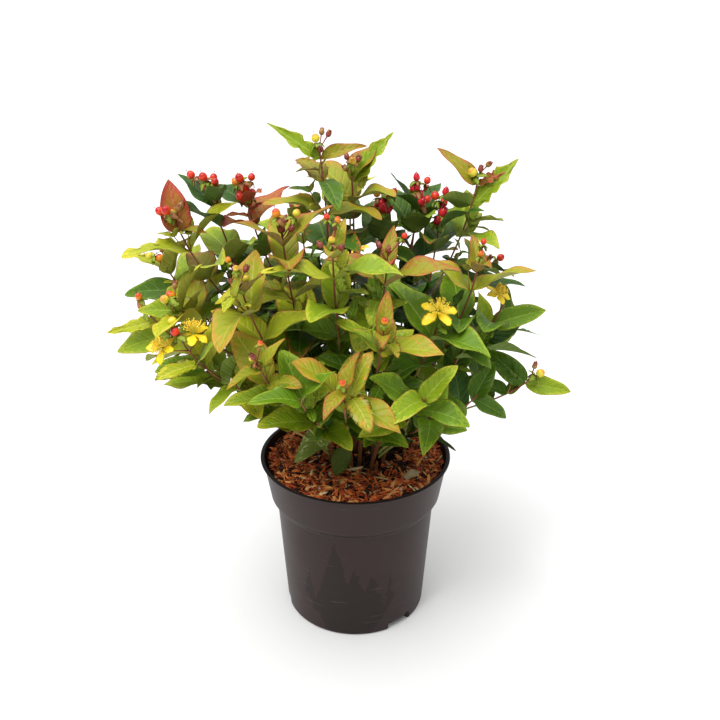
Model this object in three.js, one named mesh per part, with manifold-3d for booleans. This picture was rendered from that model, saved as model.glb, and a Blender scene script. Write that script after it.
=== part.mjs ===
// Potted St John's wort: a bushy berrying shrub with yellow flowers, grown in a 19 cm container.
// Millimetres, +Z up. The origin is the centre of the container's flat underside, -Y is the
// side that faces the viewer and +X is that viewer's right.
import * as THREE from "three";
import { mergeVertices } from "three/addons/utils/BufferGeometryUtils.js";
import Module from "manifold-3d";

const wasm = await Module();
wasm.setup();

// Container, moulded in one piece with a flat rim, a straight collar and a tapering body
const POT_HEIGHT = 172;
const RIM_RADIUS = 95;
const RIM_THICKNESS = 2;
const RIM_EDGE = 0.5;
const COLLAR_TOP_RADIUS = 89;
const COLLAR_FOOT_RADIUS = 88.3;
const COLLAR_HEIGHT = 41;
const CHAMFER_HEIGHT = 6;
const BODY_TOP_RADIUS = 79.8;
const BASE_RADIUS = 72;
const BASE_CORNER = 3;
const POT_WALL = 1.6;
const POT_FLOOR = 2.4;
const POT_SIDES = 36;
const DRAIN_COUNT = 3;
const DRAIN_WIDTH = 16;
const DRAIN_HEIGHT = 7;
const DRAIN_FIRST_AZIMUTH = -49;

// Growing medium under its bark mulch
const MULCH_LEVEL = 162;
const MULCH_CROWN = 164;
const MULCH_CROWN_RADIUS = 46;
const MULCH_RINGS = 4;
const MULCH_BUMP = 1.6;

// Gap between pieces that touch, and how far a fused solid may be smoothed
const CLEARANCE = 0.3;
const FUSE_TOLERANCE = 0.02;

// Canes: woody stems from the mulch to where the shoots spring from them
const CANE_FOOT_SIZE = 2.7;
const CANE_TIP_SIZE = 2.2;
const CANE_SIDES = 6;
const CANE_STEPS = 5;
const CANE_SPREAD = 1.45;
const CANE_LEAN = 3;
const FORK_SPACING = 0.19;

// Shoots: this year's growth, four-angled with its leaf pairs on the flats
const SHOOT_FOOT_SIZE = 2.2;
const SHOOT_TIP_SIZE = 1.5;
const SHOOT_LIFT = 14;
const SHOOT_STEEPEST = 82;
const SIDE_SHOOT_LEAN = 0.75;
const FOOT_HANDLE = 0.3;
const TIP_HANDLE = 0.36;

// Leaf pairs, each turned a quarter from the last
const FIRST_NODE = 5;
const SECOND_NODE = 23;
const INTERNODE = 29;
const BARE_FOOT = 32;
const LEAF_LENGTH = 62;
const LEAF_RATIO = 0.5;
const LEAF_ROOT_POWER = 0.45;
const LEAF_TIP_POWER = 0.85;
const LEAF_THICKNESS = 0.7;
const LEAF_ROOT_THICKNESS = 1.1;
const LEAF_FOLD = 15;
const LEAF_SHARE = [0.8, 0.98, 1.0, 0.98, 0.92, 0.85];
const LEAF_ANGLE = [48, 60, 68, 74, 78, 80];
const LEAF_BEND = [24, 32, 38, 40, 38, 34];
const LEAF_FACING_UP = 0.55;
const LEAF_LIFT = 0.26;
const LEAF_SCATTER = { turn: 10, angle: 8, length: 0.1, ratio: 0.1, bend: 12, fold: 6, roll: 14 };

// Room that a leaf keeps to another leaf, a stem and a fruit
const LEAF_GAP = 2.4;
const STEM_GAP = 2.3;
const FRUIT_GAP = 1.6;

// The crown's underside: level across the middle, it rises to both sides up to a limit, less
// to +X than to -X, and steadily to the front and back
const SKIRT_LEVEL = 186;
const SKIRT_HALF_WIDTH = 60;
const SKIRT_SIDE_RISE = 0.7;
const SKIRT_LEFT_LIMIT = 246;
const SKIRT_RIGHT_LIMIT = 234;
const SKIRT_DEPTH_RISE = 0.44;

// Fruit and flowers at the shoot tips
const BERRY_WIDTH = 7.6;
const BERRY_LENGTH = 9.6;
const BERRY_SIDES = 5;
const BERRY_SHARE = 0.95;
const BUD_SHARE = 0.72;
const STALK_LENGTH = 11;
const STALK_SIZE = 0.9;
const STALK_SPREAD = 46;
const STALK_LEAN = 4;
const CLUSTER_TURNS = [0, 90, 270, 0];
const CLUSTER_DROP = 2.4;
const HEAD_SCATTER = { spread: 4, turn: 8, stalk: 2, size: 0.08 };
const PETAL_COUNT = 5;
const FLOWER_RADIUS = 15;
const FLOWER_NOTCH = 6;
const FLOWER_THICKNESS = 1.6;
const FLOWER_CUP = 3;

// Each cane has an azimuth, a foot radius and a fork height, and carries its shoots, the steepest
// first. A shoot has the azimuth, reach and height of its tip, what it ends in, how many of that,
// and the turn of its first leaf pair. Azimuth 0 is +X and -90 is the front.
const CANES = [
  { azimuth: -160, foot: 12, fork: 232, shoots: [
    [-162, 32, 470, "orange", 3, 0],
    [-130, 92, 410, "bud", 2, 50]] },
  { azimuth: 95, foot: 9, fork: 236, shoots: [
    [105, 12, 446, "bud", 2, 20],
    [95, 60, 420, "orange", 2, 70]] },
  { azimuth: 5, foot: 18, fork: 228, shoots: [
    [10, 112, 442, "orange", 2, 90],
    [15, 80, 400, "red", 3, 40],
    [-14, 124, 310, "leaf", 0, 30],
    [20, 166, 286, "bud", 1, 35]] },
  { azimuth: -25, foot: 30, fork: 212, shoots: [
    [-26, 116, 382, "orange", 1, 60],
    [-17, 137, 346, "flower", 1, 10],
    [-8, 165, 262, "orange", 1, 50]] },
  { azimuth: -55, foot: 28, fork: 208, shoots: [
    [-52, 113, 352, "flower", 1, 80],
    [-38, 115, 310, "bud", 1, 20],
    [-60, 128, 270, "leaf", 0, 45],
    [-30, 126, 266, "leaf", 0, 75]] },
  { azimuth: -75, foot: 16, fork: 224, shoots: [
    [-72, 84, 396, "bud", 1, 30],
    [-82, 152, 362, "orange", 1, 15],
    [-70, 160, 306, "leaf", 0, 60]] },
  { azimuth: -100, foot: 24, fork: 214, shoots: [
    [-99, 112, 412, "orange", 3, 5],
    [-93, 171, 324, "orange", 1, 25],
    [-105, 165, 310, "leaf", 0, 70]] },
  { azimuth: -125, foot: 30, fork: 206, shoots: [
    [-129, 142, 382, "orange", 4, 75],
    [-116, 168, 334, "orange", 2, 35],
    [-137, 138, 290, "leaf", 0, 0]] },
  { azimuth: -152, foot: 27, fork: 212, shoots: [
    [-158, 163, 350, "orange", 1, 20],
    [-144, 170, 325, "flower", 2, 60]] },
  { azimuth: -178, foot: 26, fork: 220, shoots: [
    [-173, 156, 408, "orange", 1, 65],
    [177, 174, 360, "orange", 1, 15],
    [-171, 186, 328, "orange", 1, 40]] },
  { azimuth: 155, foot: 16, fork: 230, shoots: [
    [163, 104, 420, "red", 4, 30],
    [176, 128, 424, "orange", 2, 55],
    [148, 150, 345, "orange", 2, 75],
    [160, 172, 312, "leaf", 0, 10]] },
  { azimuth: 45, foot: 14, fork: 226, shoots: [
    [58, 44, 406, "red", 4, 55],
    [36, 72, 412, "red", 4, 10],
    [28, 142, 342, "orange", 2, 80],
    [42, 136, 268, "leaf", 0, 70]] },
  { azimuth: 118, foot: 28, fork: 214, shoots: [
    [120, 110, 385, "orange", 3, 40],
    [118, 165, 312, "bud", 1, 5],
    [138, 140, 290, "leaf", 0, 60]] },
  { azimuth: 72, foot: 29, fork: 212, shoots: [
    [52, 100, 400, "orange", 2, 15],
    [90, 150, 332, "flower", 1, 50],
    [62, 166, 304, "orange", 1, 85],
    [92, 134, 290, "leaf", 0, 25]] },
];

const COLORS = {
  pot: "#463c3b",
  mulch: "#6b3a22",
  cane: "#6a4630",
  shoots: ["#7fa02c", "#6f9a30", "#557f2b", "#8a9a38"],
};

const UP = new THREE.Vector3(0, 0, 1);
const radians = THREE.MathUtils.degToRad;

// A repeatable scatter between 0 and 1 for three whole numbers
function scatter(a, b, c) {
  const wave = Math.sin(a * 12.9898 + b * 78.233 + c * 37.719) * 43758.5453;
  return wave - Math.floor(wave);
}

// The same scatter, between -size and size
function vary(size, a, b, c) {
  return size * (2 * scatter(a, b, c) - 1);
}

function atAzimuth(azimuth, reach, height) {
  const angle = radians(azimuth);
  return new THREE.Vector3(reach * Math.cos(angle), reach * Math.sin(angle), height);
}

// Joined vertices with positions only, as the solids need them
function plain(geometry) {
  geometry.deleteAttribute("normal");
  geometry.deleteAttribute("uv");
  return mergeVertices(geometry, 1e-4);
}

function solid(geometry) {
  const merged = plain(geometry);
  const mesh = new wasm.Mesh({
    numProp: 3,
    vertProperties: new Float32Array(merged.attributes.position.array),
    triVerts: new Uint32Array(merged.index.array),
  });
  return new wasm.Manifold(mesh);
}

// The largest connected part of a solid, as a geometry
function geometryOf(manifold) {
  const parts = manifold.decompose().sort((a, b) => b.volume() - a.volume());
  const mesh = parts[0].simplify(FUSE_TOLERANCE).getMesh();
  const geometry = new THREE.BufferGeometry();
  geometry.setAttribute("position", new THREE.BufferAttribute(mesh.vertProperties, 3));
  geometry.setIndex(new THREE.BufferAttribute(mesh.triVerts, 1));
  geometry.computeVertexNormals();
  return geometry;
}

// A solid of revolution about Z from [radius, height] pairs that start and end on the axis
function turned(profile, sides) {
  const points = profile.map(([radius, height]) => new THREE.Vector2(radius, height));
  return new THREE.LatheGeometry(points, sides).rotateX(Math.PI / 2);
}

// Container

// Heights where the outline turns, and the radius where the rounded base corner starts
const collarFoot = POT_HEIGHT - COLLAR_HEIGHT;
const bodyTop = collarFoot - CHAMFER_HEIGHT;
const cornerStart = BASE_RADIUS - BASE_CORNER;

// Radius of the inner wall's surface at a height on the tapering body
function bodyInside(height) {
  const share = (height - BASE_CORNER) / (bodyTop - BASE_CORNER);
  return BASE_RADIUS + share * (BODY_TOP_RADIUS - BASE_RADIUS) - POT_WALL;
}

// The container, turned from its outline, with notches in the base corner for drainage
function potSolid() {
  const profile = [
    [0, 0],
    [cornerStart, 0],
    [cornerStart + BASE_CORNER * Math.SQRT1_2, BASE_CORNER * (1 - Math.SQRT1_2)],
    [BASE_RADIUS, BASE_CORNER],
    [BODY_TOP_RADIUS, bodyTop],
    [COLLAR_FOOT_RADIUS, collarFoot],
    [COLLAR_TOP_RADIUS, POT_HEIGHT - RIM_THICKNESS],
    [RIM_RADIUS - RIM_EDGE, POT_HEIGHT - RIM_THICKNESS],
    [RIM_RADIUS, POT_HEIGHT - RIM_THICKNESS / 2],
    [RIM_RADIUS - RIM_EDGE, POT_HEIGHT],
    [COLLAR_TOP_RADIUS - POT_WALL, POT_HEIGHT],
    [COLLAR_FOOT_RADIUS - POT_WALL, collarFoot + POT_WALL / 2],
    [BODY_TOP_RADIUS - POT_WALL, bodyTop + POT_WALL / 2],
    [bodyInside(POT_FLOOR), POT_FLOOR],
    [0, POT_FLOOR],
  ];
  let pot = solid(turned(profile, POT_SIDES));
  for (let i = 0; i < DRAIN_COUNT; i += 1) {
    const azimuth = DRAIN_FIRST_AZIMUTH + (360 / DRAIN_COUNT) * i;
    const notch = new THREE.BoxGeometry(4 * BASE_CORNER, DRAIN_WIDTH, 2 * DRAIN_HEIGHT);
    notch.translate(BASE_RADIUS - POT_WALL + BASE_CORNER, 0, 0).rotateZ(radians(azimuth));
    pot = pot.subtract(solid(notch));
  }
  return pot;
}

// Growing medium: fills the container, with a level crown under the canes and bumps round it
function mediumGeometry() {
  const inner = (height) => bodyInside(height) - CLEARANCE;
  const low = POT_FLOOR + CLEARANCE;
  const collarInside = COLLAR_FOOT_RADIUS - POT_WALL - CLEARANCE;
  const profile = [
    [0, low],
    [inner(low), low],
    [BODY_TOP_RADIUS - POT_WALL - CLEARANCE, bodyTop + POT_WALL / 2 + CLEARANCE],
    [collarInside, collarFoot + POT_WALL / 2 + CLEARANCE],
  ];
  for (let ring = 0; ring <= MULCH_RINGS; ring += 1) {
    const share = ring / MULCH_RINGS;
    const radius = THREE.MathUtils.lerp(collarInside, MULCH_CROWN_RADIUS, share);
    profile.push([radius, THREE.MathUtils.lerp(MULCH_LEVEL, MULCH_CROWN, share)]);
  }
  profile.push([0, MULCH_CROWN]);
  const geometry = plain(turned(profile, POT_SIDES));
  const position = geometry.attributes.position;
  for (let i = 0; i < position.count; i += 1) {
    const x = position.getX(i);
    const y = position.getY(i);
    const z = position.getZ(i);
    if (z > MULCH_LEVEL && Math.hypot(x, y) > MULCH_CROWN_RADIUS + 1) {
      position.setZ(i, z + vary(MULCH_BUMP, Math.round(x), Math.round(y), 1));
    }
  }
  return geometry;
}

// Stems

// Outward and sideways directions square to a stem that leans towards an azimuth
function stemFrame(tangent, azimuth) {
  const sideways = new THREE.Vector3(Math.sin(radians(azimuth)), -Math.cos(radians(azimuth)), 0);
  sideways.addScaledVector(tangent, -sideways.dot(tangent)).normalize();
  const outward = new THREE.Vector3().crossVectors(tangent, sideways);
  return { outward, sideways };
}

// How far the corners of a stem's section reach in a direction, from the stem's middle
function sectionReach({ outward, sideways }, size, firstCorner, sides, direction) {
  let reach = 0;
  for (let corner = 0; corner < sides; corner += 1) {
    const angle = radians(firstCorner + (360 / sides) * corner);
    const offset = outward.clone().multiplyScalar(size * Math.cos(angle));
    reach = Math.max(reach, offset.addScaledVector(sideways, size * Math.sin(angle)).dot(direction));
  }
  return reach;
}

// A tapering cane along its curve, bent from a straight cylinder
function caneGeometry({ curve, azimuth }) {
  const geometry = plain(new THREE.CylinderGeometry(1, 1, 1, CANE_SIDES, CANE_STEPS));
  const position = geometry.attributes.position;
  const point = new THREE.Vector3();
  for (let i = 0; i < position.count; i += 1) {
    const along = position.getY(i) + 0.5;
    const size = THREE.MathUtils.lerp(CANE_FOOT_SIZE, CANE_TIP_SIZE, along);
    const { outward, sideways } = stemFrame(curve.getTangent(along), azimuth);
    curve.getPoint(along, point);
    point.addScaledVector(outward, position.getX(i) * size);
    point.addScaledVector(sideways, position.getZ(i) * size);
    position.setXYZ(i, point.x, point.y, point.z);
  }
  return geometry;
}

// A cane rises from the mulch and leans out to its fork, its foot cut level
function caneCurve(cane) {
  const foot = atAzimuth(cane.azimuth, cane.foot, MULCH_CROWN + CLEARANCE);
  const rise = cane.fork - foot.z;
  const tip = atAzimuth(cane.azimuth, cane.foot * CANE_SPREAD + CANE_LEAN, cane.fork);
  const lowHandle = foot.clone().addScaledVector(UP, rise / 3);
  const highHandle = tip.clone().lerp(foot, 1 / 3);
  return new THREE.CubicBezierCurve3(foot, lowHandle, highHandle, tip);
}

// A shoot leaves its cane's tip or side and curves out and up to its own tip
const CANE_FIRST_CORNER = 30;
const SHOOT_FIRST_CORNER = -45;
function shootCurve(caneLine, caneAzimuth, order, [azimuth, reach, height, , , turn]) {
  const along = 1 - FORK_SPACING * order;
  const node = caneLine.getPoint(along);
  const tangent = caneLine.getTangent(along);
  const tip = atAzimuth(azimuth, reach, height);
  const heading = tip.clone().sub(node);
  const away = new THREE.Vector3(heading.x, heading.y, 0).normalize();
  let start = tangent.clone();
  let foot = node.clone().addScaledVector(tangent, CLEARANCE);
  if (order > 0) {
    start = away.clone().multiplyScalar(SIDE_SHOOT_LEAN).add(UP).normalize();
    const square = away.clone().addScaledVector(tangent, -away.dot(tangent)).normalize();
    const caneSize = THREE.MathUtils.lerp(CANE_FOOT_SIZE, CANE_TIP_SIZE, along);
    const caneFrame = stemFrame(tangent, caneAzimuth);
    const caneReach = sectionReach(caneFrame, caneSize, CANE_FIRST_CORNER, CANE_SIDES, square);
    const shootFrame = stemFrame(start, THREE.MathUtils.radToDeg(Math.atan2(away.y, away.x)));
    const firstCorner = turn + SHOOT_FIRST_CORNER;
    const shootReach = sectionReach(shootFrame, SHOOT_FOOT_SIZE, firstCorner, 4, square.clone().negate());
    foot = node.clone().addScaledVector(square, caneReach + CLEARANCE + shootReach);
  }
  const length = tip.distanceTo(foot);
  const chord = Math.atan2(tip.z - foot.z, Math.hypot(heading.x, heading.y));
  const steepness = Math.min(chord + radians(SHOOT_LIFT), radians(SHOOT_STEEPEST));
  const finish = away.clone().multiplyScalar(Math.cos(steepness));
  finish.addScaledVector(UP, Math.sin(steepness));
  const lowHandle = foot.clone().addScaledVector(start, length * FOOT_HANDLE);
  const highHandle = tip.clone().addScaledVector(finish, -length * TIP_HANDLE);
  return new THREE.CubicBezierCurve3(foot, lowHandle, highHandle, tip);
}

// Leaves

// Half the width along a leaf as a share of its widest, from root to tip
function leafOutline(along) {
  const shape = (share) => share ** LEAF_ROOT_POWER * (1 - share) ** LEAF_TIP_POWER;
  return shape(along) / shape(LEAF_ROOT_POWER / (LEAF_ROOT_POWER + LEAF_TIP_POWER));
}

// A point on a leaf: along runs from the root to the tip, side from -1 to 1 across it
function leafPoint(leaf, along, side) {
  const turn = leaf.bend * along;
  const forward = (leaf.length * Math.sin(turn)) / leaf.bend;
  const drop = (leaf.length * (1 - Math.cos(turn))) / leaf.bend;
  const halfWidth = ((leaf.length * leaf.ratio) / 2) * leafOutline(along) * side;
  const point = leaf.root.clone().addScaledVector(leaf.forward, forward);
  point.addScaledVector(leaf.up, -drop).addScaledVector(leaf.across, halfWidth * Math.cos(leaf.fold));
  return point.addScaledVector(leafNormal(leaf, along), Math.abs(halfWidth) * Math.sin(leaf.fold));
}

// Square to the midrib at a point along the bent leaf
function leafNormal(leaf, along) {
  const turn = leaf.bend * along;
  const normal = leaf.up.clone().multiplyScalar(Math.cos(turn));
  return normal.addScaledVector(leaf.forward, Math.sin(turn));
}

// The rim of the faceted leaf, anticlockwise from above, and the middle of its blade
const SHOULDER = 0.2;
const WAIST = 0.62;
const MIDDLE = 0.42;
const LEAF_RIM = [[0, 0], [SHOULDER, -1], [WAIST, -1], [1, 0], [WAIST, 1], [SHOULDER, 1]];

// Adds a leaf to a shell in place of one flat of its stem, whose corners are given from the
// lower left, anticlockwise. Seven facets above and seven below meet at the middle of the blade.
function addLeaf(points, faces, [lowLeft, lowRight, highRight, highLeft], leaf) {
  const rim = LEAF_RIM.slice(1).map(([along, side]) => points.push(leafPoint(leaf, along, side)) - 1);
  const normal = leafNormal(leaf, MIDDLE);
  const middle = leafPoint(leaf, MIDDLE, 0);
  const above = points.push(middle.clone().addScaledVector(normal, LEAF_THICKNESS / 2)) - 1;
  const below = points.push(middle.clone().addScaledVector(normal, -LEAF_THICKNESS / 2)) - 1;
  const upper = [highLeft, ...rim, highRight];
  const lower = [lowLeft, ...rim, lowRight];
  for (let i = 0; i < upper.length; i += 1) {
    const next = (i + 1) % upper.length;
    faces.push(above, upper[i], upper[next]);
    faces.push(below, lower[next], lower[i]);
  }
  faces.push(lowLeft, rim[0], highLeft);
  faces.push(highRight, rim[rim.length - 1], lowRight);
}

// The four corners of a shoot at a distance from its foot, its flats facing its leaf pairs
const CORNERS = [0, 90, 180, 270].map((turn) => turn + SHOOT_FIRST_CORNER);
function shootCorners(shoot, distance) {
  const along = distance / shoot.length;
  const { outward, sideways } = stemFrame(shoot.curve.getTangent(along), shoot.azimuth);
  const size = THREE.MathUtils.lerp(SHOOT_FOOT_SIZE, SHOOT_TIP_SIZE, along);
  return CORNERS.map((corner) => {
    const angle = radians(shoot.turn + corner);
    const point = shoot.curve.getPoint(along).addScaledVector(outward, size * Math.cos(angle));
    return point.addScaledVector(sideways, size * Math.sin(angle));
  });
}

// A shoot's stem and leaves in one closed shell: each leaf grows out of a flat of its node
function shootGeometry(shoot) {
  const points = [];
  const faces = [];
  const bands = [{ distance: 0 }, { distance: (shoot.length - SECOND_NODE) / 4 }];
  for (const node of [...shoot.nodes].reverse()) {
    bands.push({ distance: node.distance - LEAF_ROOT_THICKNESS / 2, node });
    bands.push({ distance: node.distance + LEAF_ROOT_THICKNESS / 2 });
  }
  bands.push({ distance: shoot.length });
  const store = (point) => points.push(point) - 1;
  const rings = bands.map((band) => shootCorners(shoot, band.distance).map(store));
  faces.push(rings[0][0], rings[0][1], rings[0][2], rings[0][0], rings[0][2], rings[0][3]);
  for (let i = 0; i + 1 < rings.length; i += 1) {
    for (let flat = 0; flat < 4; flat += 1) {
      const left = (flat + 1) % 4;
      const corners = [rings[i][left], rings[i][flat], rings[i + 1][flat], rings[i + 1][left]];
      const leaf = bands[i].node && bands[i].node.leaves[flat];
      if (leaf) {
        addLeaf(points, faces, corners, leaf);
      } else {
        faces.push(corners[0], corners[1], corners[2], corners[0], corners[2], corners[3]);
      }
    }
  }
  const last = rings[rings.length - 1];
  faces.push(last[0], last[2], last[1], last[0], last[3], last[2]);
  const geometry = new THREE.BufferGeometry().setFromPoints(points);
  geometry.setIndex(faces);
  return geometry;
}

// A leaf that leaves a stem at an angle, on the side given by its turn, its face part way to the sky
function leafOnStem(root, tangent, azimuth, turn, angle, size) {
  const { outward, sideways } = stemFrame(tangent, azimuth);
  const forward = tangent.clone().multiplyScalar(Math.cos(radians(angle)));
  forward.addScaledVector(outward, Math.sin(radians(angle)) * Math.cos(radians(turn)));
  forward.addScaledVector(sideways, Math.sin(radians(angle)) * Math.sin(radians(turn)));
  forward.addScaledVector(UP, size.lift).normalize();
  const above = tangent.clone().addScaledVector(forward, -tangent.dot(forward)).normalize();
  const sky = UP.clone().addScaledVector(forward, -UP.dot(forward)).normalize();
  const up = above.multiplyScalar(1 - size.facingUp).addScaledVector(sky, size.facingUp);
  up.addScaledVector(forward, -up.dot(forward)).normalize();
  const across = new THREE.Vector3().crossVectors(up, forward);
  const roll = radians(size.roll);
  const rolledUp = up.clone().multiplyScalar(Math.cos(roll)).addScaledVector(across, Math.sin(roll));
  const rolledAcross = new THREE.Vector3().crossVectors(rolledUp, forward);
  return {
    root, forward, up: rolledUp, across: rolledAcross,
    length: size.length, ratio: size.ratio, bend: radians(size.bend), fold: radians(size.fold),
  };
}

// Leaf clearance

// The six mid-surface facets of a leaf and a net of points over them
const NET = 4;
function leafCheck(leaf) {
  const rim = LEAF_RIM.map(([along, side]) => leafPoint(leaf, along, side));
  const middle = leafPoint(leaf, MIDDLE, 0);
  const facets = rim.map((corner, i) => new THREE.Triangle(middle, corner, rim[(i + 1) % 6]));
  const net = [middle];
  for (const facet of facets) {
    for (let i = 1; i <= NET; i += 1) {
      for (let j = 0; j < i; j += 1) {
        const point = facet.a.clone().multiplyScalar(1 - i / NET);
        point.addScaledVector(facet.b, (i - j) / NET).addScaledVector(facet.c, j / NET);
        net.push(point);
      }
    }
  }
  const sphere = new THREE.Sphere().setFromPoints(rim);
  return { facets, net, sphere };
}

// Whether a point is nearer than a gap to any of some facets
const nearest = new THREE.Vector3();
function pointTooNear(point, facets, gap) {
  return facets.some((facet) => {
    facet.closestPointToPoint(point, nearest);
    return nearest.distanceToSquared(point) < gap * gap;
  });
}

function leavesTooNear(one, other) {
  const reach = one.sphere.radius + other.sphere.radius + LEAF_GAP;
  if (one.sphere.center.distanceTo(other.sphere.center) > reach) {
    return false;
  }
  const clash = (a, b) => a.net.some((point) => pointTooNear(point, b.facets, LEAF_GAP));
  return clash(one, other) || clash(other, one);
}

// Whether a leaf reaches below the crown's underside, which lies above the container's rim
function hangsTooLow(check) {
  return check.net.some(({ x, y, z }) => {
    const beyond = Math.max(Math.abs(x) - SKIRT_HALF_WIDTH, 0);
    const limit = x > 0 ? SKIRT_RIGHT_LIMIT : SKIRT_LEFT_LIMIT;
    const side = Math.min(SKIRT_LEVEL + SKIRT_SIDE_RISE * beyond, limit);
    return z < side + SKIRT_DEPTH_RISE * Math.abs(y);
  });
}

// Turn, change of angle and share of size that a leaf tries until it has room
const LEAF_TRIES = [
  [0, 0, 1], [13, 0, 1], [-13, 0, 1], [0, -12, 1], [0, 12, 1], [22, -10, 0.95], [-22, -10, 0.95],
  [28, 10, 0.9], [-28, 10, 0.9], [38, -16, 0.85], [-38, -16, 0.85], [0, -24, 0.8], [0, 0, 0.68],
  [24, 0, 0.66], [-24, 0, 0.66],
];

// Fruit and flowers

// Where a shoot's fruit or flowers sit: the first in line with the stem, the rest spread round it
function clusterOf(shoot) {
  const { curve, azimuth, count, ending, index } = shoot;
  const tip = curve.getPoint(1);
  const tangent = curve.getTangent(1);
  const { outward, sideways } = stemFrame(tangent, azimuth);
  const heads = [];
  for (let i = 0; i < count; i += 1) {
    const lean = i === 0 ? STALK_LEAN : STALK_SPREAD;
    const spread = radians(lean + vary(HEAD_SCATTER.spread, index, i, 11));
    const turn = radians(shoot.turn + CLUSTER_TURNS[i] + vary(HEAD_SCATTER.turn, index, i, 12));
    const direction = tangent.clone().multiplyScalar(Math.cos(spread));
    direction.addScaledVector(outward, Math.sin(spread) * Math.cos(turn));
    direction.addScaledVector(sideways, Math.sin(spread) * Math.sin(turn));
    const stalk = STALK_LENGTH + vary(HEAD_SCATTER.stalk, index, i, 13);
    const size = ending === "bud" ? BUD_SHARE : BERRY_SHARE + vary(HEAD_SCATTER.size, index, i, 14);
    const foot = tip.clone().addScaledVector(tangent, i === 0 ? 0 : -CLUSTER_DROP);
    const center = foot.clone().addScaledVector(direction, stalk);
    heads.push({ foot, direction, stalk, size, center });
  }
  return heads;
}

// A piece turned about Y, stood on a shoot's tip along its head's direction
function standOn(head, geometry) {
  const axis = new THREE.Vector3(0, 1, 0);
  const turn = new THREE.Quaternion().setFromUnitVectors(axis, head.direction);
  return geometry.applyQuaternion(turn).translate(head.foot.x, head.foot.y, head.foot.z);
}

// A berry and its stalk in one turned outline, the stalk's foot sunk in the shoot's tip
function berryGeometry(head) {
  const halfWidth = (BERRY_WIDTH / 2) * head.size;
  const halfLength = (BERRY_LENGTH / 2) * head.size;
  const outline = [
    [0, -SHOOT_TIP_SIZE / 2],
    [STALK_SIZE, -SHOOT_TIP_SIZE / 2],
    [STALK_SIZE, head.stalk - halfLength],
    [halfWidth, head.stalk - halfLength * 0.3],
    [halfWidth * 0.8, head.stalk + halfLength * 0.5],
    [0, head.stalk + halfLength],
  ].map(([radius, height]) => new THREE.Vector2(radius, height));
  return standOn(head, plain(new THREE.LatheGeometry(outline, BERRY_SIDES)));
}

// An open flower on its stalk: five petals as a thin shallow star
function flowerGeometry(head) {
  const outline = [
    [0, -SHOOT_TIP_SIZE / 2],
    [STALK_SIZE, -SHOOT_TIP_SIZE / 2],
    [STALK_SIZE, head.stalk - FLOWER_THICKNESS],
    [FLOWER_RADIUS, head.stalk + FLOWER_CUP],
    [0, head.stalk],
  ].map(([radius, height]) => new THREE.Vector2(radius, height));
  const flower = plain(new THREE.LatheGeometry(outline, 2 * PETAL_COUNT));
  const position = flower.attributes.position;
  for (let i = 0; i < position.count; i += 1) {
    const x = position.getX(i);
    const z = position.getZ(i);
    const radius = Math.hypot(x, z);
    const spoke = Math.round((Math.atan2(z, x) / Math.PI) * PETAL_COUNT);
    if (radius > FLOWER_NOTCH && spoke % 2 !== 0) {
      const share = FLOWER_NOTCH / radius;
      position.setXYZ(i, x * share, head.stalk + FLOWER_CUP / 3, z * share);
    }
  }
  return standOn(head, flower);
}

// The plant

// Every shoot with its curve, heads and the distances of its leaf nodes from the tip
const shoots = [];
const canes = CANES.map((cane) => ({ ...cane, curve: caneCurve(cane) }));
for (const cane of canes) {
  cane.shoots.forEach((row, order) => {
    const [ending, count, turn] = row.slice(3);
    const curve = shootCurve(cane.curve, cane.azimuth, order, row);
    const heading = curve.getPoint(1).sub(curve.getPoint(0));
    const shoot = { index: shoots.length, curve, ending, count, turn, leaves: [], nodes: [] };
    shoot.azimuth = THREE.MathUtils.radToDeg(Math.atan2(heading.y, heading.x));
    shoot.length = curve.getLength();
    shoot.heads = clusterOf(shoot);
    shoots.push(shoot);
  });
}

// Stations along every stem and at every fruit, which leaves of other shoots keep off
const STATION_SPACING = 4;
const stations = [];
for (const [stems, size] of [[canes, CANE_FOOT_SIZE], [shoots, SHOOT_FOOT_SIZE]]) {
  for (const stem of stems) {
    const steps = Math.ceil(stem.curve.getLength() / STATION_SPACING);
    for (let i = 0; i <= steps; i += 1) {
      stations.push({ owner: stem, point: stem.curve.getPoint(i / steps), room: size + STEM_GAP });
    }
  }
}
for (const shoot of shoots) {
  for (const head of shoot.heads) {
    const berryRoom = (BERRY_LENGTH / 2) * head.size + FRUIT_GAP;
    const room = shoot.ending === "flower" ? FLOWER_RADIUS : berryRoom;
    stations.push({ owner: head, point: head.center, room });
  }
}

// Whether a leaf is clear of the underside, all stems and fruit, and every leaf but its sibling
function leafHasRoom(check, shoot, sibling) {
  if (hangsTooLow(check)) {
    return false;
  }
  const crowded = stations.some((station) => {
    if (station.owner === shoot) {
      return false;
    }
    const far = check.sphere.center.distanceTo(station.point) > check.sphere.radius + station.room;
    return !far && pointTooNear(station.point, check.facets, station.room);
  });
  const touched = (leaf) => leaf !== sibling && leavesTooNear(check, leaf.check);
  return !crowded && !shoots.some((other) => other.leaves.some(touched));
}

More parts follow.
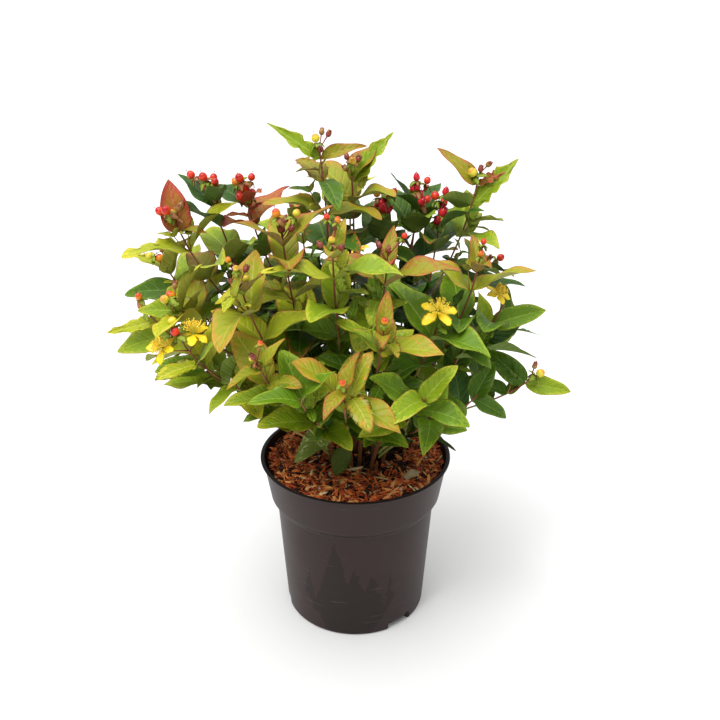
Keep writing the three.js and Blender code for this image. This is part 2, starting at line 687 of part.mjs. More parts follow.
// One leaf of the pair at a node, or nothing where it finds no room
function growLeaf(shoot, node, side, distance, sibling) {
  const along = distance / shoot.length;
  const tangent = shoot.curve.getTangent(along);
  const flat = (node + 2 * side) % 4;
  const corners = shootCorners(shoot, distance);
  const root = corners[flat].clone().lerp(corners[(flat + 1) % 4], 0.5);
  const place = Math.min(node, LEAF_SHARE.length - 1);
  for (const [turnMore, angleMore, share] of LEAF_TRIES) {
    const mirrored = side === 0 ? turnMore : -turnMore;
    const varied = (name, draw) => vary(LEAF_SCATTER[name], shoot.index, node, draw + side);
    const turn = shoot.turn + 90 * node + 180 * side + mirrored + varied("turn", 2);
    const angle = LEAF_ANGLE[place] + angleMore + varied("angle", 4);
    const size = {
      length: LEAF_LENGTH * LEAF_SHARE[place] * share * (1 + varied("length", 6)),
      ratio: LEAF_RATIO * (1 + varied("ratio", 8)),
      bend: LEAF_BEND[place] + varied("bend", 10),
      fold: LEAF_FOLD + varied("fold", 12),
      roll: varied("roll", 14),
      lift: LEAF_LIFT,
      facingUp: LEAF_FACING_UP,
    };
    const leaf = leafOnStem(root, tangent, shoot.azimuth, turn, angle, size);
    const check = leafCheck(leaf);
    if (leafHasRoom(check, shoot, sibling)) {
      return { leaf, check, flat };
    }
  }
  return null;
}

// Nodes are filled from the tips down, all shoots in turn, so the outer leaves come first
const NODE_ROWS = 7;
for (let node = 0; node < NODE_ROWS; node += 1) {
  const fromTip = node === 0 ? FIRST_NODE : SECOND_NODE + INTERNODE * (node - 1);
  for (const shoot of shoots) {
    const distance = shoot.length - fromTip;
    if (distance < BARE_FOOT) {
      continue;
    }
    const first = growLeaf(shoot, node, 0, distance, null);
    const second = growLeaf(shoot, node, 1, distance, first);
    const pair = [first, second].filter(Boolean);
    shoot.leaves.push(...pair);
    if (pair.length > 0) {
      const leaves = Object.fromEntries(pair.map(({ flat, leaf }) => [flat, leaf]));
      shoot.nodes.push({ distance, leaves });
    }
  }
}

// Assembly

const plant = new THREE.Group();

function addPiece(name, geometry, color, roughness) {
  const material = new THREE.MeshStandardMaterial({ color, roughness, metalness: 0 });
  const mesh = new THREE.Mesh(geometry, material);
  mesh.name = name;
  plant.add(mesh);
}

function numbered(word, index) {
  return `${word}_${String(index + 1).padStart(2, "0")}`;
}

addPiece("pot", geometryOf(potSolid()), COLORS.pot, 0.55);
addPiece("growing_medium", mediumGeometry(), COLORS.mulch, 0.95);

canes.forEach((cane, index) => {
  addPiece(numbered("cane", index), caneGeometry(cane), COLORS.cane, 0.85);
});

for (const shoot of shoots) {
  const pieces = [shootGeometry(shoot)];
  for (const head of shoot.heads) {
    pieces.push(shoot.ending === "flower" ? flowerGeometry(head) : berryGeometry(head));
  }
  const fused = wasm.Manifold.union(pieces.map(solid));
  const color = COLORS.shoots[shoot.index % COLORS.shoots.length];
  addPiece(numbered("shoot", shoot.index), geometryOf(fused), color, 0.6);
}

export default plant;
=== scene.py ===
import math

import bpy
import numpy as np
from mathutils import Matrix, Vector


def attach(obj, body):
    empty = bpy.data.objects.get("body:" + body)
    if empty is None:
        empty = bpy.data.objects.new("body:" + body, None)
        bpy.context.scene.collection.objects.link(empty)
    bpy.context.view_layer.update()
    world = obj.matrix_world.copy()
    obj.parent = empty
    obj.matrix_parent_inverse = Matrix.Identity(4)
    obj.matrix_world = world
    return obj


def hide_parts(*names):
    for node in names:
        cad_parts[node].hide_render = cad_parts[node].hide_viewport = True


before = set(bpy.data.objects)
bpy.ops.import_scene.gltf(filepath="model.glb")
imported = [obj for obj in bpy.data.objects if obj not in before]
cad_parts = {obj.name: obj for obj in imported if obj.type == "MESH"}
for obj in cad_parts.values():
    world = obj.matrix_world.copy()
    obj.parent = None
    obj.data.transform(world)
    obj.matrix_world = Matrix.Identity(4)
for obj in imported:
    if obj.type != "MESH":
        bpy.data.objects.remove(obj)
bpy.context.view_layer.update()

# The container: a thin injection-moulded nursery pot of recycled polypropylene. A tapering body
# widens over a chamfer into a collar, and a flat flange runs round its top. It has been watered and
# handled, so its front carries a dark stain and fine pale scuffs. Measures are in mm.
MM = 0.001
POT_HEIGHT = 172
RIM_RADIUS = 95
RIM_THICKNESS = 1.6
COLLAR_TOP_RADIUS = 92.2
COLLAR_FOOT_RADIUS = 85.8
COLLAR_HEIGHT = 41
CHAMFER_HEIGHT = 6
BODY_TOP_RADIUS = 79.8
BASE_RADIUS = 72
BASE_CORNER = 3
POT_WALL = 1.0
POT_FLOOR = 2.4
PARTING_BEAD = 0.35
SEAM_ROUND = 0.6
COLLAR_TUCK = 0.3
FLANGE_FILLET = 1.2
LIP_ROUND = 0.8
DRAIN_COUNT = 3
DRAIN_WIDTH = 26
DRAIN_HEIGHT = 7.5
DRAIN_DEPTH = 8
DRAIN_FIRST_AZIMUTH = -51
POT_SECTORS = 288
POT_COLOR = "#342624"
POT_DULL_COLOR = "#2c201f"
POT_DAMP_COLOR = "#241b19"
# The next colour is painted shade for the flange's top face, not wear.
POT_RIM_SHADE_COLOR = "#1b1414"
POT_SCUFF_COLOR = "#5e504b"


def color(text):
    """Linear RGBA of an sRGB hex colour: each channel over 12.92, or ((c + 0.055) / 1.055) ** 2.4."""
    channels = [int(text[i:i + 2], 16) / 255 for i in (1, 3, 5)]
    linear = [c / 12.92 if c <= 0.04045 else ((c + 0.055) / 1.055) ** 2.4 for c in channels]
    return (*linear, 1.0)


def add_node(tree, kind, values=None, links=None, **settings):
    """Adds a node, gives it settings and input values, and links outputs to its inputs."""
    node = tree.nodes.new(kind)
    for name, value in settings.items():
        setattr(node, name, value)
    for socket, value in (values or {}).items():
        node.inputs[socket].default_value = value
    for socket, source in (links or {}).items():
        tree.links.new(source, node.inputs[socket])
    return node


def calc(tree, operation, *operands):
    """Output of a Math node; each operand is a number or the output of another node."""
    values = {i: each for i, each in enumerate(operands) if isinstance(each, (int, float))}
    links = {i: each for i, each in enumerate(operands) if i not in values}
    return add_node(tree, "ShaderNodeMath", values, links, operation=operation).outputs[0]


def start_material(name, base, roughness, ior=1.45):
    """A material with a Principled shader of one base colour, roughness and IOR."""
    material = bpy.data.materials.new(name)
    material.use_nodes = True
    shader = material.node_tree.nodes["Principled BSDF"]
    shader.inputs["Base Color"].default_value = color(base)
    shader.inputs["Roughness"].default_value = roughness
    shader.inputs["IOR"].default_value = ior
    return material, material.node_tree, shader


def grain(tree, shader, vector, scale, detail, strength, depth):
    """Gives a shader a bump of noise, its scale per metre and its depth in metres."""
    noise = add_node(tree, "ShaderNodeTexNoise", {"Scale": scale, "Detail": detail}, {"Vector": vector})
    bump = add_node(tree, "ShaderNodeBump", {"Strength": strength, "Distance": depth},
                    {"Height": noise.outputs["Fac"]})
    tree.links.new(bump.outputs[0], shader.inputs["Normal"])


def grained_material(name, base, roughness, scale, detail, strength, depth, stretch=(1, 1, 1)):
    """A material of one colour and roughness with such a bump, its noise scaled along each axis."""
    material, tree, shader = start_material(name, base, roughness)
    place = add_node(tree, "ShaderNodeTexCoord").outputs["Object"]
    space = add_node(tree, "ShaderNodeMapping", {"Scale": stretch}, {"Vector": place})
    grain(tree, shader, space.outputs[0], scale, detail, strength, depth)
    return material


def make_piece(name, points, faces, materials, slots=None, corner_map=None):
    """A smooth mesh object at the origin from points in mm and faces as rows of point numbers.

    slots gives each face's material, and corner_map a (u, v) pair for each point. Points that no
    face uses are left out."""
    sides = faces.shape[1]
    used, renumbered = np.unique(faces, return_inverse=True)
    faces = renumbered.reshape(-1, sides)
    mesh = bpy.data.meshes.new(name)
    mesh.vertices.add(len(used))
    mesh.vertices.foreach_set("co", (np.asarray(points)[used] * MM).astype(np.float32).ravel())
    mesh.loops.add(faces.size)
    mesh.loops.foreach_set("vertex_index", faces.astype(np.int32).ravel())
    mesh.polygons.add(len(faces))
    mesh.polygons.foreach_set("loop_start", np.arange(0, faces.size, sides, dtype=np.int32))
    mesh.polygons.foreach_set("use_smooth", np.ones(len(faces), bool))
    for material in materials:
        mesh.materials.append(material)
    if slots is not None:
        mesh.polygons.foreach_set("material_index", slots.astype(np.int32))
    if corner_map is not None:
        layer = mesh.uv_layers.new(name="LeafMap")
        layer.data.foreach_set("uv", corner_map[used][faces.ravel()].astype(np.float32).ravel())
    mesh.update(calc_edges=True)
    mesh.validate()
    piece = bpy.data.objects.new(name, mesh)
    bpy.context.scene.collection.objects.link(piece)
    return piece


def grid_faces(rows, columns, closed):
    """Triangles of a grid of points, numbered row by row; closed joins the last column to the first."""
    row, column = np.meshgrid(np.arange(rows - 1), np.arange(columns - (not closed)), indexing="ij")
    here = (row * columns + column).ravel()
    side = (row * columns + (column + 1) % columns).ravel()
    quads = np.stack([here, side, side + columns, here + columns], axis=1)
    return np.concatenate([quads[:, [0, 1, 2]], quads[:, [0, 2, 3]]])


def drawn_together(faces, rows, columns):
    """Draws the first and the last row of a closed grid into one point each, and leaves out the
    triangles that this makes flat."""
    at_end = (faces < columns) | (faces >= (rows - 1) * columns)
    faces = np.where(at_end, faces // columns * columns, faces)
    whole = (faces[:, 0] != faces[:, 1]) & (faces[:, 1] != faces[:, 2]) & (faces[:, 2] != faces[:, 0])
    return faces[whole]


def revolve(profile, sectors):
    """Closed surface of revolution: (r cos a, r sin a, z) for each (r, z) of a profile that starts
    and ends on the axis, its two end rows drawn together into one pole each."""
    angle = np.arange(sectors) * 2 * np.pi / sectors
    radius, height = np.asarray(profile, float).T
    points = np.stack([
        radius[:, None] * np.cos(angle),
        radius[:, None] * np.sin(angle),
        np.repeat(height[:, None], sectors, axis=1),
    ], axis=2)
    rows = len(profile)
    return points, drawn_together(grid_faces(rows, sectors, closed=True), rows, sectors)


def between(start, end, count):
    """Points from start up to but without end, evenly spaced on a straight line."""
    share = np.arange(count)[:, None] / count
    return list(np.asarray(start, float) * (1 - share) + np.asarray(end, float) * share)


def arc(center, radius, first, last, count):
    """Points round a centre from one angle in degrees to another, both ends included."""
    angle = np.radians(np.linspace(first, last, count))
    return [(center[0] + radius * math.cos(a), center[1] + radius * math.sin(a)) for a in angle]


collar_foot = POT_HEIGHT - COLLAR_HEIGHT
body_top = collar_foot - CHAMFER_HEIGHT
flange_foot = POT_HEIGHT - RIM_THICKNESS
lip = RIM_THICKNESS / 2


def body_inside(height):
    """Radius of the inner wall on the tapering body: the outer taper less the wall."""
    share = (height - BASE_CORNER) / (body_top - BASE_CORNER)
    return BASE_RADIUS + share * (BODY_TOP_RADIUS - BASE_RADIUS) - POT_WALL


pot_profile = between((0, 0), (BASE_RADIUS - BASE_CORNER, 0), 5)
pot_profile += arc((BASE_RADIUS - BASE_CORNER, BASE_CORNER), BASE_CORNER, -90, 0, 6)[:-1]
pot_profile += between((BASE_RADIUS, BASE_CORNER), (BODY_TOP_RADIUS, body_top - 1), 44)
pot_profile += arc((BODY_TOP_RADIUS, body_top), PARTING_BEAD, -80, 60, 5)
tuck = (COLLAR_FOOT_RADIUS - COLLAR_TUCK, collar_foot - SEAM_ROUND)
pot_profile += between((BODY_TOP_RADIUS + SEAM_ROUND, body_top + SEAM_ROUND), tuck, 4) + [tuck]
fillet_foot = flange_foot - FLANGE_FILLET
pot_profile += between((COLLAR_FOOT_RADIUS, collar_foot), (COLLAR_TOP_RADIUS, fillet_foot), 12)
pot_profile += arc((COLLAR_TOP_RADIUS + FLANGE_FILLET, fillet_foot), FLANGE_FILLET, 180, 90, 4)
pot_profile += arc((RIM_RADIUS - lip, POT_HEIGHT - lip), lip, -90, 90, 9)
collar_wall = COLLAR_TOP_RADIUS - POT_WALL
pot_profile += arc((collar_wall + LIP_ROUND, POT_HEIGHT - LIP_ROUND), LIP_ROUND, 90, 180, 4)
inner_foot = (COLLAR_FOOT_RADIUS - POT_WALL, collar_foot)
pot_profile += between((collar_wall, POT_HEIGHT - 1), inner_foot, 6) + [inner_foot]
floor_corner = (body_inside(POT_FLOOR), POT_FLOOR)
pot_profile += between((BODY_TOP_RADIUS - POT_WALL, body_top), floor_corner, 8)
pot_profile += between(floor_corner, (0, POT_FLOOR), 4) + [(0, POT_FLOOR)]


def drain_notches(points):
    """Presses the drain notches into the base corner: the radius is cut back where the arc distance
    s to a notch's middle is under half its width and z is under its height plus 0.9 sin(1.9 s) +
    0.5 sin(4.3 s), which makes its edge ragged."""
    x, y, z = points[..., 0], points[..., 1], points[..., 2]
    radius, azimuth = np.hypot(x, y), np.degrees(np.arctan2(y, x))
    spacing = 360 / DRAIN_COUNT
    off = (azimuth - DRAIN_FIRST_AZIMUTH + spacing / 2) % spacing - spacing / 2
    along_rim = np.radians(off) * BASE_RADIUS
    ragged = 0.9 * np.sin(along_rim * 1.9) + 0.5 * np.sin(along_rim * 4.3)
    inside = (np.abs(along_rim) < DRAIN_WIDTH / 2) & (z < DRAIN_HEIGHT + ragged)
    inside &= (radius > BASE_RADIUS - DRAIN_DEPTH) & (radius > 1)
    cut = np.where(inside, (BASE_RADIUS - DRAIN_DEPTH) / np.maximum(radius, 1), 1.0)
    points[..., 0] *= cut
    points[..., 1] *= cut
    return points


# Moulded polypropylene, black with a brown cast: a broad soft sheen, a dark stain where water has
# dried low on its front, and thin level scuffs. The flange's top face is painted near black as
# shade, for the dark look of its gloss from above. The grain from the mould is drawn about 1 mm
# across, coarser than it is, so that it shows.
POT_GRAIN_SCALE = 900.0
# Each point of the stain gives its x, its half width at the foot and its height, in mm.
STAIN_POINTS = [(-20, 29, 116), (-1, 26, 86), (16, 24, 77), (-45, 12, 78), (34, 10, 76)]
# In metres: the stain's edge wanders by up to so much in x and z, its foot is at this curve times x
# squared, and it lies only where y is under the front limit.
STAIN_WANDER = (0.010, 0.016)
STAIN_FOOT_CURVE = 27.0
STAIN_FRONT = -0.03
pot_plastic, tree, shader = start_material("moulded polypropylene", POT_COLOR, 0.5, 1.49)
shader.inputs["Specular IOR Level"].default_value = 0.2
place = add_node(tree, "ShaderNodeTexCoord").outputs["Object"]
where = add_node(tree, "ShaderNodeSeparateXYZ", links={0: place})
ragged = add_node(tree, "ShaderNodeTexNoise", {"Scale": 130.0, "Detail": 3.0}, {"Vector": place})
ragged_x = calc(tree, "MULTIPLY_ADD", ragged.outputs["Fac"], STAIN_WANDER[0], where.outputs["X"])
ragged_z = calc(tree, "MULTIPLY_ADD", ragged.outputs["Fac"], STAIN_WANDER[1], where.outputs["Z"])
stain_top = 0.0
for x, half, top in STAIN_POINTS:
    off = calc(tree, "ABSOLUTE", calc(tree, "SUBTRACT", ragged_x, x * MM + STAIN_WANDER[0] / 2))
    point = calc(tree, "MULTIPLY_ADD", off, -top / half, top * MM + STAIN_WANDER[1] / 2)
    stain_top = calc(tree, "MAXIMUM", stain_top, point)
x_squared = calc(tree, "POWER", calc(tree, "ABSOLUTE", ragged_x), 2.0)
stain_foot = calc(tree, "MULTIPLY", x_squared, STAIN_FOOT_CURVE)
stain = calc(tree, "MINIMUM", calc(tree, "SUBTRACT", stain_top, ragged_z),
             calc(tree, "SUBTRACT", ragged_z, stain_foot))
on_front = calc(tree, "MULTIPLY_ADD", where.outputs["Y"], -0.1, 0.1 * STAIN_FRONT)
damp = add_node(tree, "ShaderNodeMapRange", {"From Min": -0.0008, "From Max": 0.0008},
                {"Value": calc(tree, "MINIMUM", stain, on_front)})
scuff_space = add_node(tree, "ShaderNodeMapping", {"Scale": (26, 26, 420)}, {"Vector": place})
scuff_noise = add_node(tree, "ShaderNodeTexNoise", {"Scale": 1.0, "Detail": 3.0},
                       {"Vector": scuff_space.outputs[0]})
scuff = add_node(tree, "ShaderNodeMapRange",
                 {"From Min": 0.66, "From Max": 0.76, "To Min": 0.0, "To Max": 0.5},
                 {"Value": scuff_noise.outputs["Fac"]})
tone_noise = add_node(tree, "ShaderNodeTexNoise", {"Scale": 18.0, "Detail": 3.0}, {"Vector": place})
tone = add_node(tree, "ShaderNodeMix", {6: color(POT_COLOR), 7: color(POT_DULL_COLOR)},
                {0: tone_noise.outputs["Fac"]}, data_type="RGBA")
damp_mix = add_node(tree, "ShaderNodeMix", {7: color(POT_DAMP_COLOR)},
                    {0: damp.outputs[0], 6: tone.outputs[2]}, data_type="RGBA")
scuff_mix = add_node(tree, "ShaderNodeMix", {7: color(POT_SCUFF_COLOR)},
                     {0: scuff.outputs[0], 6: damp_mix.outputs[2]}, data_type="RGBA")
# The flange's top face turns near black: painted shade.
flange = add_node(tree, "ShaderNodeMapRange",
                  {"From Min": (POT_HEIGHT - 0.5) * MM, "From Max": (POT_HEIGHT - 0.1) * MM},
                  {"Value": where.outputs["Z"]})
rim_shade_mix = add_node(tree, "ShaderNodeMix", {7: color(POT_RIM_SHADE_COLOR)},
                   {0: flange.outputs[0], 6: scuff_mix.outputs[2]}, data_type="RGBA")
tree.links.new(rim_shade_mix.outputs[2], shader.inputs["Base Color"])
grain(tree, shader, place, scale=POT_GRAIN_SCALE, detail=2.0, strength=0.12, depth=0.0004)
sheen = add_node(tree, "ShaderNodeMapRange", {"To Min": 0.36, "To Max": 0.48},
                 {"Value": tone_noise.outputs["Fac"]})
tree.links.new(sheen.outputs[0], shader.inputs["Roughness"])

points, faces = revolve(pot_profile, POT_SECTORS)
pot = make_piece("nursery_pot", drain_notches(points).reshape(-1, 3), faces, [pot_plastic])
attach(pot, "root")
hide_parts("pot")

# The growing medium: peat filled to a finger's width below the flange. Only its top shows, a low
# mound of damp dark peat between the pieces of mulch that lie on it, its colour taken down to nearly
# black as painted shade in those gaps.
CLEARANCE = 0.3
MULCH_LEVEL = 162
MULCH_CROWN = 164
MULCH_CROWN_RADIUS = 46
rng = np.random.default_rng(20)


def inside_collar(height):
    """Radius that clears the collar's inner wall: the collar's taper less the wall and a clearance."""
    share = (height - collar_foot) / (flange_foot - collar_foot)
    taper = COLLAR_FOOT_RADIUS + share * (COLLAR_TOP_RADIUS - COLLAR_FOOT_RADIUS)
    return taper - POT_WALL - CLEARANCE


def mulch_height(x, y):
    """Height of the mound: level in the middle, falling to the wall, with ripples of half
    sin(0.21 x + 1.3) sin(0.19 y) + 0.6 sin(0.11 x - 0.17 y) and a hollow of
    5 exp(-(((x - 20) / 20)^2 + ((y + 12) / 18)^2)) between the canes on the right."""
    radius = np.hypot(x, y)
    fall = np.clip((radius - MULCH_CROWN_RADIUS) / (collar_inside - MULCH_CROWN_RADIUS), 0, 1)
    ripple = np.sin(x * 0.21 + 1.3) * np.sin(y * 0.19) + 0.6 * np.sin(x * 0.11 - y * 0.17)
    hollow = 5.0 * np.exp(-(((x - 20) / 20) ** 2 + ((y + 12) / 18) ** 2))
    return MULCH_CROWN - fall * (MULCH_CROWN - MULCH_LEVEL) + 0.5 * ripple - hollow


collar_inside = inside_collar(MULCH_LEVEL)
over_notches = DRAIN_HEIGHT + 3
medium_foot = (BASE_RADIUS - DRAIN_DEPTH - 2, POT_FLOOR + CLEARANCE)
medium_side = (body_inside(over_notches) - CLEARANCE, over_notches)
medium_profile = between((0, POT_FLOOR + CLEARANCE), medium_foot, 3)
medium_profile += between(medium_foot, medium_side, 2)
medium_shoulder = (BODY_TOP_RADIUS - POT_WALL - CLEARANCE, body_top + 1)
medium_profile += between(medium_side, medium_shoulder, 4)
medium_corner = (inside_collar(collar_foot + 1), collar_foot + 1)
medium_profile += between(medium_shoulder, medium_corner, 2)
medium_profile += between(medium_corner, (collar_inside, MULCH_LEVEL), 2)
medium_profile += between((collar_inside, MULCH_LEVEL), (0, MULCH_CROWN), 40)
medium_profile += [(0, MULCH_CROWN)]
# The peat's colour is damp peat darkened further as painted shade for the gaps in the mulch.
peat = grained_material("damp peat and painted shade", "#1c0f09", roughness=0.95, scale=500.0, detail=5.0,
                        strength=0.9, depth=0.002)
points, faces = revolve(medium_profile, 120)
top = points[..., 2] >= MULCH_LEVEL
points[..., 2] = np.where(top, mulch_height(points[..., 0], points[..., 1]), points[..., 2])
bed = make_piece("peat_bed", points.reshape(-1, 3), faces, [peat])
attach(bed, "root")
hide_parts("growing_medium")

# Shredded pine bark: split red-brown splinters, up to 27 mm long, thrown on several deep, with
# paler wood among them. Each is a flat bent wedge with narrower ends. Those that lie low in the
# layer or in the hollow between the canes take the darkest bark colour as painted shade, for the
# shade in the gaps and under the leaves.
CHIP_COUNT = 5600
CHIP_COLORS = ["#f07c3a", "#bc5029", "#fcac64", "#84401f", "#fadca6", "#2a120a"]
CHIP_SHARES = [0.3, 0.24, 0.19, 0.1, 0.04, 0.13]
SHADED_DEPTH = 0.33
MULCH_DEPTH = 5.6
CHIP_LENGTHS = (3.5, 27)
CHIP_WIDTHS = (0.55, 4.4)
CHIP_TILT = 0.36
CHIP_ROLL = 0.5


def strewn(count, edge):
    """Places spread evenly on a disc: a radius edge sqrt(u) and an azimuth, both from even draws."""
    return edge * np.sqrt(rng.uniform(0, 1, count)), rng.uniform(0, 2 * np.pi, count)


def turned(first, second, angle):
    """Two coordinates turned: first cos(a) - second sin(a), and first sin(a) + second cos(a)."""
    return first * np.cos(angle) - second * np.sin(angle), first * np.sin(angle) + second * np.cos(angle)


def splinters(centers, yaw, tilt, roll, length, width, thickness):
    """Bent wedges: three four-cornered rings along X, the outer two narrower and dropped by a
    share of the length, turned by roll about X, tilt about Y and yaw about Z."""
    along = np.array([-0.5, 0.05, 0.5])
    narrow = np.array([0.35, 1.0, 0.45])
    corner = np.array([[-0.5, -0.5], [0.5, -0.5], [0.6, 0.5], [-0.4, 0.5]])
    bow = rng.uniform(-0.06, 0.14, len(centers))
    bow, length, width, thickness, yaw, tilt, roll = (
        each[:, None, None] for each in (bow, length, width, thickness, yaw, tilt, roll))
    along, narrow = along[None, :, None], narrow[None, :, None]
    x = length * along + length * 0.08 * corner[:, 0]
    y = width * narrow * corner[:, 0]
    z = thickness * narrow * corner[:, 1] - bow * length * (2 * along) ** 2
    y, z = turned(y, z, roll)
    z, x = turned(z, x, tilt)
    x, y = turned(x, y, yaw)
    points = np.stack([x, y, z], axis=3).reshape(len(centers), 12, 3) + centers[:, None, :]
    side = grid_faces(3, 4, closed=True)
    ends = np.array([[0, 2, 1], [0, 3, 2], [8, 9, 10], [8, 10, 11]])
    template = np.concatenate([side, ends])
    faces = template[None] + 12 * np.arange(len(centers))[:, None, None]
    return points.reshape(-1, 3), faces.reshape(-1, 3), len(template)


reach, azimuth = strewn(CHIP_COUNT, collar_inside - 2.5)
length = np.clip(rng.gamma(3.3, 3.3, CHIP_COUNT) + 2.5, *CHIP_LENGTHS)
width = np.clip(rng.gamma(2.4, 0.58, CHIP_COUNT) + 0.45, *CHIP_WIDTHS) * np.clip(length / 9, 0.6, 1.3)
thickness = rng.uniform(0.35, 1.0, CHIP_COUNT)
room = np.maximum(collar_inside - 0.8 - reach, 0)
yaw = rng.uniform(0, 2 * np.pi, CHIP_COUNT)
half_outward = length / 2 * np.abs(np.cos(yaw - azimuth))
reach = np.where(room < half_outward, collar_inside - 1.2 - half_outward, reach)
reach = np.maximum(reach, 0)
x, y = reach * np.cos(azimuth), reach * np.sin(azimuth)
layer = rng.uniform(0, 1, CHIP_COUNT) ** 1.3
tilt = rng.normal(0, CHIP_TILT, CHIP_COUNT)
highest = POT_HEIGHT - 1.0 - np.abs(length / 2 * np.sin(tilt))
z = np.minimum(mulch_height(x, y) - 0.4 + MULCH_DEPTH * layer, highest)
points, faces, each = splinters(np.stack([x, y, z], axis=1), yaw, tilt,
                                rng.normal(0, CHIP_ROLL, CHIP_COUNT), length, width, thickness)
kind = rng.choice(len(CHIP_COLORS), CHIP_COUNT, p=CHIP_SHARES)
# Chips low in the layer or in the hollow get the darkest colour: painted shade, not damp.
shaded_in_hollow = rng.uniform(0, 1, CHIP_COUNT) < 0.97 * np.exp(-(((x - 18) / 32) ** 4 + ((y + 6) / 26) ** 4))
kind = np.where(shaded_in_hollow | (layer < SHADED_DEPTH), len(CHIP_COLORS) - 1, kind)
# Split bark is matt and fibrous. Its fibre is drawn about 1.4 mm across, coarser than it is, so
# that it shows.
chip_materials = [grained_material(f"split bark {text[1:]}", text, roughness=0.85, scale=700.0,
                                   detail=3.0, strength=0.7, depth=0.001) for text in CHIP_COLORS]
mulch = make_piece("bark_mulch", points, faces, chip_materials, np.repeat(kind, each))
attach(mulch, "root")

# Perlite: pale, light grains of puffed volcanic glass that the peat was mixed with. They lie loose
# where they have worked up between the bark, as lumps up to 4 mm across.
GRAIN_COUNT = 46
GRAIN_SIZES = (0.8, 3.6)
lump = np.array([[x, y, z] for x in (-1, 1) for y in (-1, 1) for z in (-1, 1)]) * 0.5
grain_faces = np.array([[0, 1, 3], [0, 3, 2], [4, 6, 7], [4, 7, 5], [0, 4, 5], [0, 5, 1],
                        [2, 3, 7], [2, 7, 6], [0, 2, 6], [0, 6, 4], [1, 5, 7], [1, 7, 3]])
reach, azimuth = strewn(GRAIN_COUNT, collar_inside - 6)
x, y = reach * np.cos(azimuth), reach * np.sin(azimuth)
centers = np.stack([x, y, mulch_height(x, y) + 4.0], axis=1)
size = np.clip(rng.gamma(3, 0.6, (GRAIN_COUNT, 1, 1)), *GRAIN_SIZES)
points = centers[:, None] + lump * size * rng.uniform(0.5, 1.1, (GRAIN_COUNT, 8, 3))
faces = grain_faces[None] + 8 * np.arange(GRAIN_COUNT)[:, None, None]
perlite = grained_material("perlite", "#cbbfa6", roughness=0.9, scale=1500.0, detail=2.0,
                           strength=0.6, depth=0.0006)
grains = make_piece("perlite_grains", points.reshape(-1, 3), faces.reshape(-1, 3), [perlite])
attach(grains, "root")

# The canes: fourteen woody stems of the bush, brown with fine lengthwise bark ridges, that rise
# from the mulch and lean out to where this year's shoots spring from them.
UP = np.array([0.0, 0.0, 1.0])
CANE_FOOT_SIZE = 2.7
CANE_TIP_SIZE = 2.2
CANE_SIDES = 6
CANE_SPREAD = 1.45
CANE_LEAN = 3
CANE_ROOTED = 8
FORK_SPACING = 0.19
SHOOT_FOOT_SIZE = 2.2
SHOOT_TIP_SIZE = 1.5
SHOOT_LIFT = 14
SHOOT_STEEPEST = 82
SIDE_SHOOT_LEAN = 0.75
FOOT_HANDLE = 0.3
TIP_HANDLE = 0.36
CANE_FIRST_CORNER = 30
SHOOT_FIRST_CORNER = -45
# A row gives a cane's azimuth, the radius of its foot and the height of its fork, and each of its
# shoots the azimuth, radius and height of the tip, what it ends in, how many of them, and its turn.
# Azimuths are in degrees, 0 to the right and -90 to the front.
CANES = [
    (-160, 12, 232, [
        (-162, 32, 470, "orange", 3, 0),
        (-130, 92, 410, "bud", 2, 50)]),
    (95, 9, 236, [
        (105, 12, 446, "bud", 2, 20),
        (95, 60, 420, "orange", 2, 70)]),
    (5, 18, 228, [
        (10, 112, 442, "orange", 2, 90),
        (15, 80, 400, "red", 3, 40),
        (-14, 124, 310, "leaf", 0, 30),
        (20, 166, 286, "bud", 1, 35)]),
    (-25, 30, 212, [
        (-26, 116, 382, "orange", 1, 60),
        (-17, 137, 346, "flower", 1, 10),
        (-8, 165, 262, "orange", 1, 50)]),
    (-55, 28, 208, [
        (-52, 113, 352, "flower", 1, 80),
        (-38, 115, 310, "bud", 1, 20),
        (-60, 128, 270, "leaf", 0, 45),
        (-30, 126, 266, "leaf", 0, 75)]),
    (-75, 16, 224, [
        (-72, 84, 396, "bud", 1, 30),
        (-82, 152, 362, "orange", 1, 15),
        (-70, 160, 306, "leaf", 0, 60)]),
    (-100, 24, 214, [
        (-99, 112, 412, "orange", 3, 5),
        (-93, 171, 324, "orange", 1, 25),
        (-105, 165, 310, "leaf", 0, 70)]),
    (-125, 30, 206, [
        (-129, 142, 382, "orange", 4, 75),
        (-116, 168, 334, "orange", 2, 35),
        (-137, 138, 290, "leaf", 0, 0)]),
    (-152, 27, 212, [
        (-158, 163, 350, "orange", 1, 20),
        (-144, 170, 325, "flower", 2, 60)]),
    (-178, 26, 220, [
        (-173, 156, 408, "orange", 1, 65),
        (177, 174, 360, "orange", 1, 15),
        (-171, 186, 328, "orange", 1, 40)]),
    (155, 16, 230, [
        (163, 104, 420, "red", 4, 30),
        (176, 128, 424, "orange", 2, 55),
        (148, 150, 345, "orange", 2, 75),
        (160, 172, 312, "leaf", 0, 10)]),
    (45, 14, 226, [
        (58, 44, 406, "red", 4, 55),
        (36, 72, 412, "red", 4, 10),
        (28, 142, 342, "orange", 2, 80),
        (42, 136, 268, "leaf", 0, 70)]),
    (118, 28, 214, [
        (120, 110, 385, "orange", 3, 40),
        (118, 165, 312, "bud", 1, 5),
        (138, 140, 290, "leaf", 0, 60)]),
    (72, 29, 212, [
        (52, 100, 400, "orange", 2, 15),
        (90, 150, 332, "flower", 1, 50),
        (62, 166, 304, "orange", 1, 85),
        (92, 134, 290, "leaf", 0, 25)]),
]


def unit(vector):
    """The vector, or each row of vectors, over its length."""
    return vector / np.linalg.norm(vector, axis=-1, keepdims=True)


def at_azimuth(azimuth, reach, height):
    """The point (reach cos a, reach sin a, height) for an azimuth in degrees."""
    angle = math.radians(azimuth)
    return np.array([reach * math.cos(angle), reach * math.sin(angle), height])


def swung(first, second, angle):
    """A direction between two others: first cos(angle) + second sin(angle)."""
    return first * math.cos(angle) + second * math.sin(angle)


